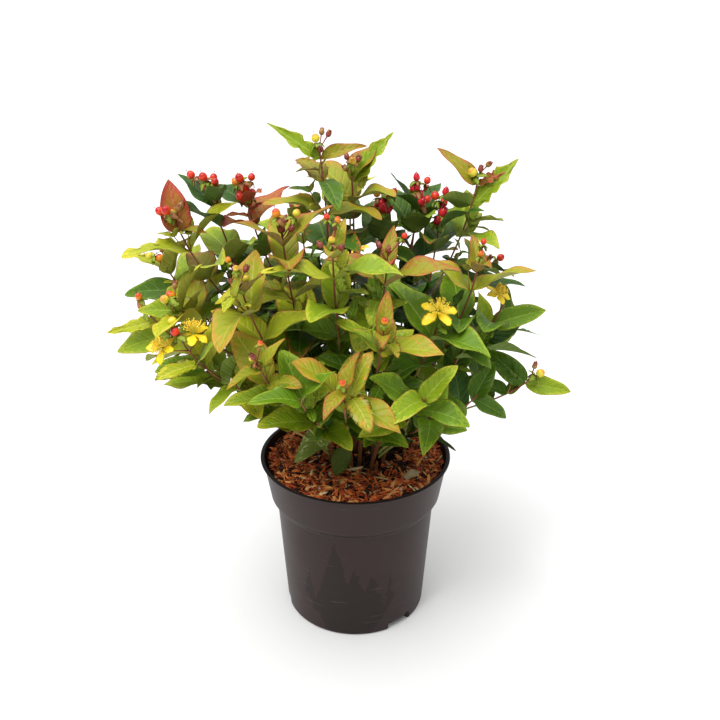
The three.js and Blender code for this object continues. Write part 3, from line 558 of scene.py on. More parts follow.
def on_curve(handles, along):
    """Cubic curve through four handles: (1-t)^3 a + 3(1-t)^2 t b + 3(1-t) t^2 c + t^3 d."""
    t = np.asarray(along, float)[..., None]
    a, b, c, d = handles
    return (1 - t) ** 3 * a + 3 * (1 - t) ** 2 * t * b + 3 * (1 - t) * t ** 2 * c + t ** 3 * d


def curve_length(handles):
    """Length of that curve, summed over 200 steps."""
    return np.linalg.norm(np.diff(on_curve(handles, np.linspace(0, 1, 201)), axis=0), axis=1).sum()


def heading_on(handles, along):
    """Direction of that curve: its slope (1-t)^2 (b-a) + 2(1-t) t (c-b) + t^2 (d-c), made unit."""
    t = np.asarray(along, float)[..., None]
    a, b, c, d = handles
    return unit((1 - t) ** 2 * (b - a) + 2 * (1 - t) * t * (c - b) + t ** 2 * (d - c))


def stem_frame(tangent, azimuth):
    """Outward and sideways directions square to a stem that leans towards an azimuth."""
    level = np.array([math.sin(math.radians(azimuth)), -math.cos(math.radians(azimuth)), 0.0])
    sideways = unit(level - (tangent @ level)[..., None] * tangent)
    return np.cross(tangent, sideways), sideways


def section_reach(stem, size, first_corner, sides, direction):
    """How far the corners of a stem's section reach in a direction from its middle."""
    outward, sideways = stem
    angle = np.radians(first_corner + 360 / sides * np.arange(sides))[:, None]
    return ((outward * np.cos(angle) + sideways * np.sin(angle)) @ direction).max() * size


def cane_curve(azimuth, foot_radius, fork):
    """A cane's curve: straight up from its foot, then leaning out to its fork."""
    foot = at_azimuth(azimuth, foot_radius, MULCH_CROWN + CLEARANCE)
    tip = at_azimuth(azimuth, foot_radius * CANE_SPREAD + CANE_LEAN, fork)
    return np.array([foot, foot + UP * (fork - foot[2]) / 3, tip + (foot - tip) / 3, tip])


def shoot_curve(cane, cane_azimuth, order, row):
    """A shoot's curve: the first goes on from the cane's tip, the others spring from its side."""
    azimuth, reach, height, _, _, turn = row
    along = 1 - FORK_SPACING * order
    node, tangent = on_curve(cane, along), heading_on(cane, along)
    tip = at_azimuth(azimuth, reach, height)
    level = (tip - node) * [1, 1, 0]
    away = unit(level)
    start, foot = tangent, node + tangent * CLEARANCE
    if order:
        start = unit(away * SIDE_SHOOT_LEAN + UP)
        square = unit(away - (away @ tangent) * tangent)
        cane_size = CANE_FOOT_SIZE + (CANE_TIP_SIZE - CANE_FOOT_SIZE) * along
        cane_reach = section_reach(stem_frame(tangent, cane_azimuth), cane_size,
                                   CANE_FIRST_CORNER, CANE_SIDES, square)
        shoot_azimuth = math.degrees(math.atan2(away[1], away[0]))
        shoot_reach = section_reach(stem_frame(start, shoot_azimuth), SHOOT_FOOT_SIZE,
                                    turn + SHOOT_FIRST_CORNER, 4, -square)
        foot = node + square * (cane_reach + CLEARANCE + shoot_reach)
    length = np.linalg.norm(tip - foot)
    chord = math.atan2(tip[2] - foot[2], np.linalg.norm(level))
    steepness = min(chord + math.radians(SHOOT_LIFT), math.radians(SHOOT_STEEPEST))
    back = swung(away, UP, steepness) * length * TIP_HANDLE
    return np.array([foot, foot + start * length * FOOT_HANDLE, tip - back, tip])


def tubes(paths, sizes, sides, relief=None):
    """Closed tapering tubes: rings of corners round each path (N, K, 3), of the sizes (N, K), with
    the first and last ring drawn to a point. relief scales each corner, (N, K, sides)."""
    paths, sizes = np.asarray(paths, float), np.asarray(sizes, float)
    paths = np.concatenate([paths[:, :1], paths, paths[:, -1:]], axis=1)
    sizes = np.pad(sizes, ((0, 0), (1, 1)))
    count, rings = sizes.shape
    inner = np.gradient(paths[:, 1:-1], axis=1)
    tangent = unit(np.concatenate([inner[:, :1], inner, inner[:, -1:]], axis=1))
    mean = np.abs(tangent.mean(axis=1))
    reference = np.eye(3)[np.argmin(mean, axis=1)][:, None, :]
    sideways = unit(reference - (tangent * reference).sum(axis=2, keepdims=True) * tangent)
    outward = np.cross(tangent, sideways)
    angle = np.arange(sides) * 2 * np.pi / sides
    ring = outward[:, :, None] * np.cos(angle)[:, None] - sideways[:, :, None] * np.sin(angle)[:, None]
    reach = sizes[:, :, None, None] * np.ones((1, 1, sides, 1))
    if relief is not None:
        reach = reach * np.pad(relief, ((0, 0), (1, 1), (0, 0)), mode="edge")[..., None]
    points = paths[:, :, None] + ring * reach
    faces = drawn_together(grid_faces(rings, sides, closed=True), rings, sides)
    faces = faces[None] + rings * sides * np.arange(count)[:, None, None]
    return points.reshape(-1, 3), faces.reshape(-1, 3)


def joined(parts):
    """Several (points, faces) pairs as one pair, with the number of faces of each."""
    counts = np.cumsum([0] + [len(points) for points, _ in parts[:-1]])
    points = np.concatenate([points for points, _ in parts])
    faces = np.concatenate([faces + start for (_, faces), start in zip(parts, counts)])
    return points, faces, [len(faces) for _, faces in parts]


def stem_material(name, base, roughness, grain_mm):
    """Bark or stem skin: dull to satin, with a bump of lengthwise streaks grain_mm apart."""
    return grained_material(name, base, roughness, scale=1000 / grain_mm, detail=4.0, strength=0.6,
                            depth=0.0006, stretch=(1, 1, 0.25))


shoots = []
cane_curves = []
for cane_azimuth, foot_radius, fork, rows in CANES:
    cane = cane_curve(cane_azimuth, foot_radius, fork)
    cane_curves.append(cane)
    for order, row in enumerate(rows):
        curve = shoot_curve(cane, cane_azimuth, order, row)
        chord = curve[3] - curve[0]
        shoots.append({
            "index": len(shoots), "curve": curve, "ending": row[3], "count": row[4], "turn": row[5],
            "azimuth": math.degrees(math.atan2(chord[1], chord[0])), "length": curve_length(curve),
        })

CANE_SHARE = 0.72
CANE_RINGS = 34
CANE_NODES = 4.3
NODE_SWELL = 0.16
BARK_SIDES = 14
BARK_RIDGES = 0.06
BARK_ROUGHNESS = 0.035
along = np.linspace(0, 1, CANE_RINGS)
paths = np.array([on_curve(cane, along) for cane in cane_curves])
paths[:, 0, 2] -= CANE_ROOTED
sizes = CANE_FOOT_SIZE + (CANE_TIP_SIZE - CANE_FOOT_SIZE) * along
swell = NODE_SWELL * np.exp(-(((along * CANE_NODES) % 1 - 0.5) / 0.12) ** 2)
sizes = np.repeat((sizes * (CANE_SHARE + swell))[None], len(paths), axis=0)
corner = np.arange(BARK_SIDES)
ridges = 1 + BARK_RIDGES * np.sin(corner * 2.1 + np.arange(len(paths))[:, None])[:, None, :]
ridges = ridges + rng.normal(0, BARK_ROUGHNESS, (len(paths), CANE_RINGS, BARK_SIDES))
points, faces = tubes(paths, sizes, BARK_SIDES, ridges)
bark = stem_material("young shrub bark", "#74461f", 0.8, 1.2)
canes = make_piece("woody_canes", points, faces, [bark])
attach(canes, "root")
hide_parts(*[f"cane_{i + 1:02d}" for i in range(len(CANES))])

# This year's shoots: slender stems, green at the foot and wine-red towards the tip, one grown on
# from each cane's end and the others from its sides, each bending out and up to its cluster.
STEM_SHARE = 0.52
STEM_SIDES = 8
STEM_RINGS = 30
STEM_BANDS = [("wine red shoot skin", "#8a4a34", 0.62), ("flushed shoot skin", "#94763a", 0.3),
              ("green shoot skin", "#7f8c3c", 0.0)]
along = np.linspace(0, 1, STEM_RINGS)
paths = np.array([on_curve(shoot["curve"], along) for shoot in shoots])
sizes = STEM_SHARE * (SHOOT_FOOT_SIZE + (SHOOT_TIP_SIZE - SHOOT_FOOT_SIZE) * along)
sizes = np.repeat(sizes[None], len(paths), axis=0)
points, faces = tubes(paths, sizes, STEM_SIDES)
rows_of_tube = STEM_RINGS + 2
along_face = (faces.min(axis=1) // STEM_SIDES % rows_of_tube) / rows_of_tube
band = np.select([along_face > limit for _, _, limit in STEM_BANDS], range(len(STEM_BANDS)), 2)
skins = [stem_material(name, base, 0.5, 0.8) for name, base, _ in STEM_BANDS]
stems = make_piece("leafy_shoot_stems", points, faces, skins, band)
shoot_nodes = [f"shoot_{i + 1:02d}" for i in range(len(shoots))]
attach(stems, "root")
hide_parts(*shoot_nodes)

# The leaves: pairs of stalkless oval leaves, each pair crossing the next, folded along the midrib
# and bent back. The rule of the solids places them here, each at the first of several tries that
# gives it room, and they are drawn further down. Angles are in degrees.
FIRST_NODE = 5
SECOND_NODE = 23
INTERNODE = 29
BARE_FOOT = 32
NODES = 7
LEAF_LENGTH = 62
LEAF_RATIO = 0.5
LEAF_ROOT_POWER = 0.45
LEAF_TIP_POWER = 0.85
LEAF_SHARE = [0.8, 0.98, 1.0, 0.98, 0.92, 0.85]
LEAF_ANGLE = [48, 60, 68, 74, 78, 80]
LEAF_BEND = [24, 32, 38, 40, 38, 34]
LEAF_FOLD = 15
LEAF_LIFT = 0.26
LEAF_FACING_UP = 0.55
LEAF_SCATTER = {"turn": 10, "angle": 8, "length": 0.1, "ratio": 0.1, "bend": 12, "fold": 6, "roll": 14}
LEAF_TRIES = [
    (0, 0, 1), (13, 0, 1), (-13, 0, 1), (0, -12, 1), (0, 12, 1), (22, -10, 0.95), (-22, -10, 0.95),
    (28, 10, 0.9), (-28, 10, 0.9), (38, -16, 0.85), (-38, -16, 0.85), (0, -24, 0.8), (0, 0, 0.68),
    (24, 0, 0.66), (-24, 0, 0.66),
]
LEAF_RIM = [(0, 0), (0.2, -1), (0.62, -1), (1, 0), (0.62, 1), (0.2, 1)]
LEAF_MIDDLE = 0.42
NET_STEPS = 4
SEAT_SHARE = 0.4
LEAF_GAP = 2.4
STEM_GAP = 2.3
FRUIT_GAP = 1.6
STATION_STEP = 4
SKIRT_LEVEL = 186
SKIRT_HALF_WIDTH = 60
SKIRT_SIDE_RISE = 0.7
SKIRT_LEFT_LIMIT = 246
SKIRT_RIGHT_LIMIT = 234
SKIRT_DEPTH_RISE = 0.44
BERRY_LENGTH = 9.6
BERRY_SHARE = 0.95
BUD_SHARE = 0.72
FLOWER_RADIUS = 15
STALK_LENGTH = 11
STALK_SPREAD = 46
STALK_LEAN = 4
CLUSTER_TURNS = [0, 90, 270, 0]
CLUSTER_DROP = 2.4
HEAD_SCATTER = {"spread": 4, "turn": 8, "stalk": 2, "size": 0.08}


def vary(size, a, b, c):
    """Repeatable draw from -size to size: the fraction of 43758.5453 sin(12.9898 a + 78.233 b
    + 37.719 c), spread over that range."""
    draw = math.sin(a * 12.9898 + b * 78.233 + c * 37.719) * 43758.5453 % 1
    return size * (2 * draw - 1)


def end_cluster(shoot):
    """The heads at a shoot's tip, the first straight on and the others spread round it."""
    tangent = heading_on(shoot["curve"], 1.0)
    outward, sideways = stem_frame(tangent, shoot["azimuth"])
    index, heads = shoot["index"], []
    for i in range(shoot["count"]):
        lean = STALK_LEAN if i == 0 else STALK_SPREAD
        spread = math.radians(lean + vary(HEAD_SCATTER["spread"], index, i, 11))
        turn = math.radians(shoot["turn"] + CLUSTER_TURNS[i] + vary(HEAD_SCATTER["turn"], index, i, 12))
        direction = swung(tangent, swung(outward, sideways, turn), spread)
        stalk = STALK_LENGTH + vary(HEAD_SCATTER["stalk"], index, i, 13)
        size = BUD_SHARE if shoot["ending"] == "bud" else BERRY_SHARE
        size += 0 if shoot["ending"] == "bud" else vary(HEAD_SCATTER["size"], index, i, 14)
        foot = shoot["curve"][3] - tangent * (0 if i == 0 else CLUSTER_DROP)
        heads.append({"kind": shoot["ending"], "foot": foot, "direction": direction, "stalk": stalk,
                      "size": size, "center": foot + direction * stalk, "shoot": index})
    return heads


def leaf_frame(place, forward_angle, turn, roll):
    """Forward, across and up directions of a leaf that leaves a stem at an angle and a turn: lifted
    a little, its upper face between the stem's direction and the sky, then rolled."""
    tangent, outward, sideways = place
    angle, turn, roll = math.radians(forward_angle), math.radians(turn), math.radians(roll)
    forward = unit(swung(tangent, swung(outward, sideways, turn), angle) + UP * LEAF_LIFT)
    above = unit(tangent - (tangent @ forward) * forward)
    sky = unit(UP - (UP @ forward) * forward)
    up = above * (1 - LEAF_FACING_UP) + sky * LEAF_FACING_UP
    up = unit(up - (up @ forward) * forward)
    up = swung(up, np.cross(up, forward), roll)
    return forward, np.cross(up, forward), up


def leaf_outline(along, root=LEAF_ROOT_POWER, tip=LEAF_TIP_POWER):
    """Share of the greatest half width at a share of the length: along^root (1-along)^tip over the
    greatest value of that, so a smaller root is blunter at the stem and a smaller tip at the tip."""
    widest = root / (root + tip)
    return along ** root * (1 - along) ** tip / (widest ** root * (1 - widest) ** tip)


def leaf_point(leaf, along, side):
    """A point of a leaf's middle surface: bent back on an arc, folded up from its midrib."""
    turn, fold = leaf["bend"] * along, leaf["fold"]
    reach = leaf["length"] * math.sin(turn) / leaf["bend"]
    drop = leaf["length"] * (1 - math.cos(turn)) / leaf["bend"]
    half = leaf["length"] * leaf["ratio"] / 2 * leaf_outline(along) * side
    normal = swung(leaf["up"], leaf["forward"], turn)
    return (leaf["root"] + leaf["forward"] * reach - leaf["up"] * drop
            + leaf["across"] * half * math.cos(fold) + normal * abs(half) * math.sin(fold))


def leaf_net(leaf):
    """Six facets that span a leaf, points spread over them, and the ball round its rim."""
    rim = np.array([leaf_point(leaf, along, side) for along, side in LEAF_RIM])
    middle = leaf_point(leaf, LEAF_MIDDLE, 0)
    facets = np.array([[middle, rim[i], rim[(i + 1) % len(rim)]] for i in range(len(rim))])
    shares = np.array([(1 - i / NET_STEPS, (i - j) / NET_STEPS, j / NET_STEPS)
                       for i in range(1, NET_STEPS + 1) for j in range(i)])
    net = np.concatenate([middle[None], (shares[None] @ facets).reshape(-1, 3)])
    ball = (rim.min(axis=0) + rim.max(axis=0)) / 2
    return {"facets": facets, "net": net, "ball": ball,
            "radius": np.linalg.norm(rim - ball, axis=1).max()}


def gaps_to_facets(points, facets):
    """Distance from each point to each facet: to its plane where the foot falls inside, or else to
    the nearest of its three edges."""
    corners, along_edge = facets, np.roll(facets, -1, axis=1) - facets
    normal = unit(np.cross(along_edge[:, 0], along_edge[:, 1]))
    offset = points[:, None, None] - corners[None]
    share = (offset * along_edge).sum(axis=3) / (along_edge ** 2).sum(axis=2)
    foot = offset - np.clip(share, 0, 1)[..., None] * along_edge
    to_edges = np.linalg.norm(foot, axis=3).min(axis=2)
    inward = (np.cross(along_edge[None], offset) * normal[None, :, None]).sum(axis=3)
    height = np.abs((offset[:, :, 0] * normal).sum(axis=2))
    return np.where((inward >= 0).all(axis=2), np.minimum(height, to_edges), to_edges)


def hangs_too_low(net):
    """True where a point is under the crown's open underside, which rises beyond a half width on
    each side, up to that side's limit, and with the distance |y| before or behind the middle."""
    side = np.abs(net[:, 0])
    rise = SKIRT_LEVEL + SKIRT_SIDE_RISE * np.maximum(side - SKIRT_HALF_WIDTH, 0)
    limit = np.where(net[:, 0] > 0, SKIRT_RIGHT_LIMIT, SKIRT_LEFT_LIMIT)
    return (net[:, 2] < np.minimum(rise, limit) + SKIRT_DEPTH_RISE * np.abs(net[:, 1])).any()


heads = [head for shoot in shoots for head in end_cluster(shoot)]
stations = []
limbs = [(shoot["curve"], SHOOT_FOOT_SIZE) for shoot in shoots]
limbs += [(cane, CANE_FOOT_SIZE) for cane in cane_curves]
for owner, (curve, size) in enumerate(limbs):
    steps = math.ceil(curve_length(curve) / STATION_STEP)
    path = on_curve(curve, np.arange(steps + 1) / steps)
    stations += [(*point, size + STEM_GAP, owner) for point in path]
for head in heads:
    room = FLOWER_RADIUS if head["kind"] == "flower" else BERRY_LENGTH / 2 * head["size"] + FRUIT_GAP
    stations.append((*head["center"], room, -1))
stations = np.array(stations)
placed = {"balls": np.zeros((0, 3)), "radii": np.zeros(0), "nets": [], "facets": []}


def has_room(check, owner, gap):
    """True where a leaf clears the underside of the crown, the stems but its own, the heads, and
    every leaf that was placed before it by the gap. A gap under the rule's also narrows the room
    that it leaves round the stems and heads."""
    if hangs_too_low(check["net"]):
        return False
    room = stations[:, 3] - min(LEAF_GAP - gap, STEM_GAP - CLEARANCE)
    off = np.linalg.norm(stations[:, :3] - check["ball"], axis=1)
    near = (stations[:, 4] != owner) & (off <= check["radius"] + room)
    if near.any():
        gaps = gaps_to_facets(stations[near, :3], check["facets"]).min(axis=1)
        if (gaps < room[near]).any():
            return False
    off = np.linalg.norm(placed["balls"] - check["ball"], axis=1)
    close = np.flatnonzero(off <= check["radius"] + placed["radii"] + gap)
    if not len(close):
        return True
    reach = check["radius"] + gap
    nets = np.concatenate([placed["nets"][i] for i in close])
    nets = nets[np.linalg.norm(nets - check["ball"], axis=1) <= reach]
    if len(nets) and gaps_to_facets(nets, check["facets"]).min() < gap:
        return False
    facets = np.concatenate([placed["facets"][i] for i in close])
    middles = facets.mean(axis=1)
    radii = np.linalg.norm(facets - middles[:, None], axis=2).max(axis=1)
    facets = facets[np.linalg.norm(middles - check["ball"], axis=1) <= reach + radii]
    return not len(facets) or gaps_to_facets(check["net"], facets).min() >= gap


def settle(leaf):
    """Adds a leaf to the ones that later leaves keep clear of."""
    check = leaf["check"]
    placed["balls"] = np.concatenate([placed["balls"], check["ball"][None]])
    placed["radii"] = np.append(placed["radii"], check["radius"])
    placed["nets"].append(check["net"])
    placed["facets"].append(check["facets"])


def grow_leaf(shoot, node, side, distance, gap):
    """The leaf on one side of a node at the first try that clears the others by a gap, or None.

    Its root is where the solid leaf leaves its square stem, and its seat lies in the round one."""
    along = distance / shoot["length"]
    tangent = heading_on(shoot["curve"], along)
    outward, sideways = stem_frame(tangent, shoot["azimuth"])
    size = SHOOT_FOOT_SIZE + (SHOOT_TIP_SIZE - SHOOT_FOOT_SIZE) * along
    flat = math.radians(shoot["turn"] + 90 * ((node + 2 * side) % 4))
    axis = on_curve(shoot["curve"], along)
    out_of_stem = size * (outward * math.cos(flat) + sideways * math.sin(flat))
    place = min(node, len(LEAF_SHARE) - 1)

    def varied(name, draw):
        """The repeatable draw of one of the leaf's measures."""
        return vary(LEAF_SCATTER[name], shoot["index"], node, draw + side)

    for turn_more, angle_more, share in LEAF_TRIES:
        mirrored = turn_more if side == 0 else -turn_more
        turn = shoot["turn"] + 90 * node + 180 * side + mirrored + varied("turn", 2)
        angle = LEAF_ANGLE[place] + angle_more + varied("angle", 4)
        forward, across, up = leaf_frame((tangent, outward, sideways), angle, turn, varied("roll", 14))
        leaf = {
            "root": axis + out_of_stem * math.sqrt(0.5), "seat": axis + out_of_stem * SEAT_SHARE,
            "forward": forward, "across": across, "up": up,
            "length": LEAF_LENGTH * LEAF_SHARE[place] * share * (1 + varied("length", 6)),
            "ratio": LEAF_RATIO * (1 + varied("ratio", 8)),
            "bend": math.radians(LEAF_BEND[place] + varied("bend", 10)),
            "fold": math.radians(LEAF_FOLD + varied("fold", 12)),
            "shoot": shoot["index"], "node": node, "side": side, "turn": turn, "along": along,
        }
        leaf["check"] = leaf_net(leaf)
        if has_room(leaf["check"], shoot["index"], gap):
            return leaf
    return None


leaves, bare_sides = [], []
for node in range(NODES):
    from_tip = FIRST_NODE if node == 0 else SECOND_NODE + INTERNODE * (node - 1)
    for shoot in shoots:
        distance = shoot["length"] - from_tip
        if distance < BARE_FOOT:
            continue
        pair = [grow_leaf(shoot, node, side, distance, LEAF_GAP) for side in (0, 1)]
        bare_sides += [(shoot, node, side, distance) for side in (0, 1) if pair[side] is None]
        for leaf in filter(None, pair):
            settle(leaf)
            leaves.append(leaf)

# The rule leaves a side bare where a solid leaf would come too near another. The real leaves are
# thin and lie closer, so most bare sides still get theirs.
FINE_GAP = 0.5
for bare in bare_sides:
    leaf = grow_leaf(*bare, FINE_GAP)
    if leaf:
        settle(leaf)
        leaves.append(leaf)

# Small side sprigs break from many leaf axils: a short thin twig with one or two pairs of small
# leaves. A sprig keeps clear of what is there already, and one that finds no room is left out.
# Lengths are in mm and angles in degrees.
SPRIG_CHANCE = 0.56
SPRIG_LENGTHS = (9, 30)
SPRIG_TWO_PAIRS = 18
SPRIG_LEAF_LENGTHS = (18, 40)
SPRIG_ANGLE = 36
SPRIG_LIFT = 0.2
SPRIG_TIP_LIFT = 0.35
SPRIG_LEAF_ANGLES = (44, 66)
SPRIG_LEAF_BENDS = (12, 44)
SPRIG_LEAF_FOLDS = (10, 26)
SPRIG_FOOT = 1.2
SPRIG_GAP = 0.6
TWIG_SIZES = [0.75, 0.6, 0.45]
SPRIG_TRIES = [(0, 1), (30, 1), (-30, 1), (60, 0.8), (-60, 0.8), (0, 0.6), (45, 0.5), (-45, 0.5)]


def grow_sprig(leaf, number):
    """A sprig in a leaf's axil: its twig's path and its leaves, at the first try with room."""
    shoot = shoots[leaf["shoot"]]
    tangent = heading_on(shoot["curve"], leaf["along"])
    outward, sideways = stem_frame(tangent, shoot["azimuth"])
    longest = rng.uniform(*SPRIG_LENGTHS)
    small = rng.uniform(*SPRIG_LEAF_LENGTHS)
    for turn_more, share in SPRIG_TRIES:
        turn = math.radians(leaf["turn"] + turn_more)
        angle = math.radians(SPRIG_ANGLE + rng.normal(0, 6))
        direction = unit(swung(tangent, swung(outward, sideways, turn), angle) + UP * SPRIG_LIFT)
        length = longest * share
        root = leaf["root"] + tangent * SPRIG_FOOT
        knee = root + direction * length * 0.5
        tip = knee + unit(direction + UP * SPRIG_TIP_LIFT) * length * 0.5
        twig_frame = stem_frame(direction, math.degrees(math.atan2(direction[1], direction[0])))
        pairs = [(tip, 0, 1.0)] + ([(knee, 90, 0.85)] if length > SPRIG_TWO_PAIRS else [])
        grown = []
        for foot, crossed, smaller in pairs:
            for side in (0, 180):
                forward, across, up = leaf_frame(
                    (direction, *twig_frame), rng.uniform(*SPRIG_LEAF_ANGLES),
                    45 * (number % 2) + crossed + side + rng.normal(0, 10), rng.normal(0, 12))
                one = {"root": foot, "forward": forward, "across": across, "up": up,
                       "length": small * smaller * share * rng.uniform(0.86, 1.12),
                       "ratio": LEAF_RATIO * rng.uniform(0.88, 1.08),
                       "bend": math.radians(rng.uniform(*SPRIG_LEAF_BENDS)),
                       "fold": math.radians(rng.uniform(*SPRIG_LEAF_FOLDS)),
                       "shoot": leaf["shoot"], "node": leaf["node"] + 0.5, "side": side}
                one["check"] = leaf_net(one)
                grown.append(one)
        if all(has_room(one["check"], leaf["shoot"], SPRIG_GAP) for one in grown):
            for one in grown:
                settle(one)
            return [root - tangent * SPRIG_FOOT, knee, tip], grown
    return None


sprig_leaves, sprig_paths = [], []
for number, leaf in enumerate(leaves):
    if leaf["node"] > 0 and rng.uniform() < SPRIG_CHANCE:
        sprig = grow_sprig(leaf, number)
        if sprig:
            sprig_paths.append(sprig[0])
            sprig_leaves += sprig[1]

twig_paths = np.array(sprig_paths)
twig_sizes = np.repeat([TWIG_SIZES], len(twig_paths), axis=0)
points, faces = tubes(twig_paths, twig_sizes, 5)
twigs = make_piece("side_sprig_twigs", points, faces, [skins[1]])
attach(twigs, "root")

# The leaf skin: smooth and a little waxy above with the side veins pressed in, paler and duller
# below. Lime to bluish green, the youngest flushed orange and crimson; the tints are dealt out
# lighter on the lit left and darker on the right, at the back and inside, as painted light and shade.
VEIN_SLANT = -0.22
VEIN_WAVES = 44.0
VEIN_DEPTH = 0.42
# Each tint gives its middle, its edge and tip, its midrib, its underside, and how far the edge
# colour reaches in and how mottled its border is.
LEAF_TINTS = {
    "L": ("#9ca520", "#beb832", "#bcbc50", "#a4a648", 0.54, 0.14),
    "B": ("#7c941a", "#a4aa2e", "#a0ac42", "#90983e", 0.52, 0.14),
    "F": ("#5c7c14", "#829a24", "#86a03a", "#788a3a", 0.5, 0.12),
    "M": ("#446412", "#66821e", "#6e8a36", "#667b36", 0.48, 0.12),
    "D": ("#2f5012", "#4a6a1e", "#587832", "#526c34", 0.46, 0.1),
    "K": ("#1f4722", "#2b5222", "#426838", "#436234", 0.3, 0.08),
    "O": ("#8c921e", "#b08a32", "#a8a446", "#9a984c", 0.54, 0.18),
    "R": ("#8a861e", "#a4622e", "#a88e3e", "#96804a", 0.54, 0.2),
    "C": ("#9c6a2a", "#a84634", "#b4704a", "#b0563e", 0.7, 0.2),
    "S": ("#406414", "#a0622a", "#6c8a30", "#68783a", 0.36, 0.2),
}
# The brown or reddish rim along most of the margin, for the tints that have one.
MARGIN_COLORS = {"L": "#a8762c", "B": "#94742a", "F": "#7a6a22", "M": "#5e5a1e", "O": "#9a5a2a",
                 "R": "#924a2c", "C": "#7c2a26", "S": "#6e3a1e"}
# The tints of each shoot's pairs of leaves, from the tip down. Part of it is painted light: the shoots
# on the left are dealt lighter tints where the light comes from, and those on the right, at the back
# and low inside darker ones, as painted shade.
SPRAYS_WITH_PAINTED_LIGHT = [
    "RROSFM", "RROLSM", "ROSFMD", "LBFMDK", "RBBFMD", "DSMDKK", "BFFMMD", "MMDDKK", "ROMFMD", "OMFMDD",
    "FMMDDK", "OFMMDM", "FMBFMM", "FMMFMF", "MMDFMD", "CRBFMM", "ROBFMM", "BFBFFM", "OLBFBF", "ROBFFM",
    "FBFBMM", "ROLBFM", "OOBBFM", "BLFBMD", "LOLBFM", "LLBFMM", "CLRBFM", "LBLFMD", "LLBBFM", "DCFBFM",
    "DDBFMD", "DFMDDK", "BFMMDD", "FMDDKD", "DMFDSK", "SDMDKK", "MDDKKK", "OBFMKD", "BMFDKK", "MDFKKK",
    "DMOMKD", "LBFMDK", "OBMFDK", "MFDKKK",
]
# Each zone of a leaf and its roughness.
LEAF_ZONES = {"middle": 0.42, "flank": 0.42, "edge": 0.42, "midrib": 0.5, "underside": 0.62, "margin": 0.5}
EDGE_FROM = 0.16
FLANK_FROM = -0.04
MIDRIB_HALF = 0.04
MIDRIB_END = 0.86
MARGIN_FROM = 0.95
MARGIN_SHARE = 0.75
DARKER_CHANCE = 0.2

# The blades: each living leaf is a thin blade, thickest at its midrib, with a rippled margin. It is
# wider, more folded and blunter than the rule's, shorter on the front shoots, and young and small at
# some tips. Those that point to the front near a shoot's tip bend back more.
LEAF_ALONG = np.array([0, 0.02, 0.06, 0.11, 0.17, 0.23, 0.29, 0.35, 0.41, 0.47, 0.53, 0.59, 0.65, 0.71,
                       0.77, 0.83, 0.89, 0.94, 0.98, 1])
LEAF_SIDES = np.array([1, 0.945, 0.82, 0.65, 0.46, 0.24, 0.03, -0.03, -0.24, -0.46, -0.65, -0.82, -0.945,
                       -1])
SMALL_ALONG = np.array([0, 0.06, 0.2, 0.42, 0.66, 0.86, 1])
SMALL_SIDES = np.array([1, 0.5, 0.05, -0.05, -0.5, -1])
BLADE_THICKNESS = 0.35
FOLD_JITTER = 0.03
BLADE_SWAY = 0.05
FRAY_FROM = 0.6
LIVING_ROOT_POWER = 0.44
LIVING_TIP_POWERS = (0.62, 0.92)
LEAF_WIDER = 1.06
LEAF_RUFFLE = 0.22
MORE_FOLD = 0.09
FRONT_BEND = {0: 54, 1: 16}
YOUNG_TIPS = [8, 11, 15, 16, 18, 19, 21, 22]
YOUNG_SHARE = 0.74
YOUNG_NARROWER = 0.76
TIP_SHARPER = 0.2
FRONT_SHOOTS = [12, 13, 14, 16, 17, 19, 20, 22, 23]
FRONT_SHARE = 0.86
FRAY_DEPTH = 0.5
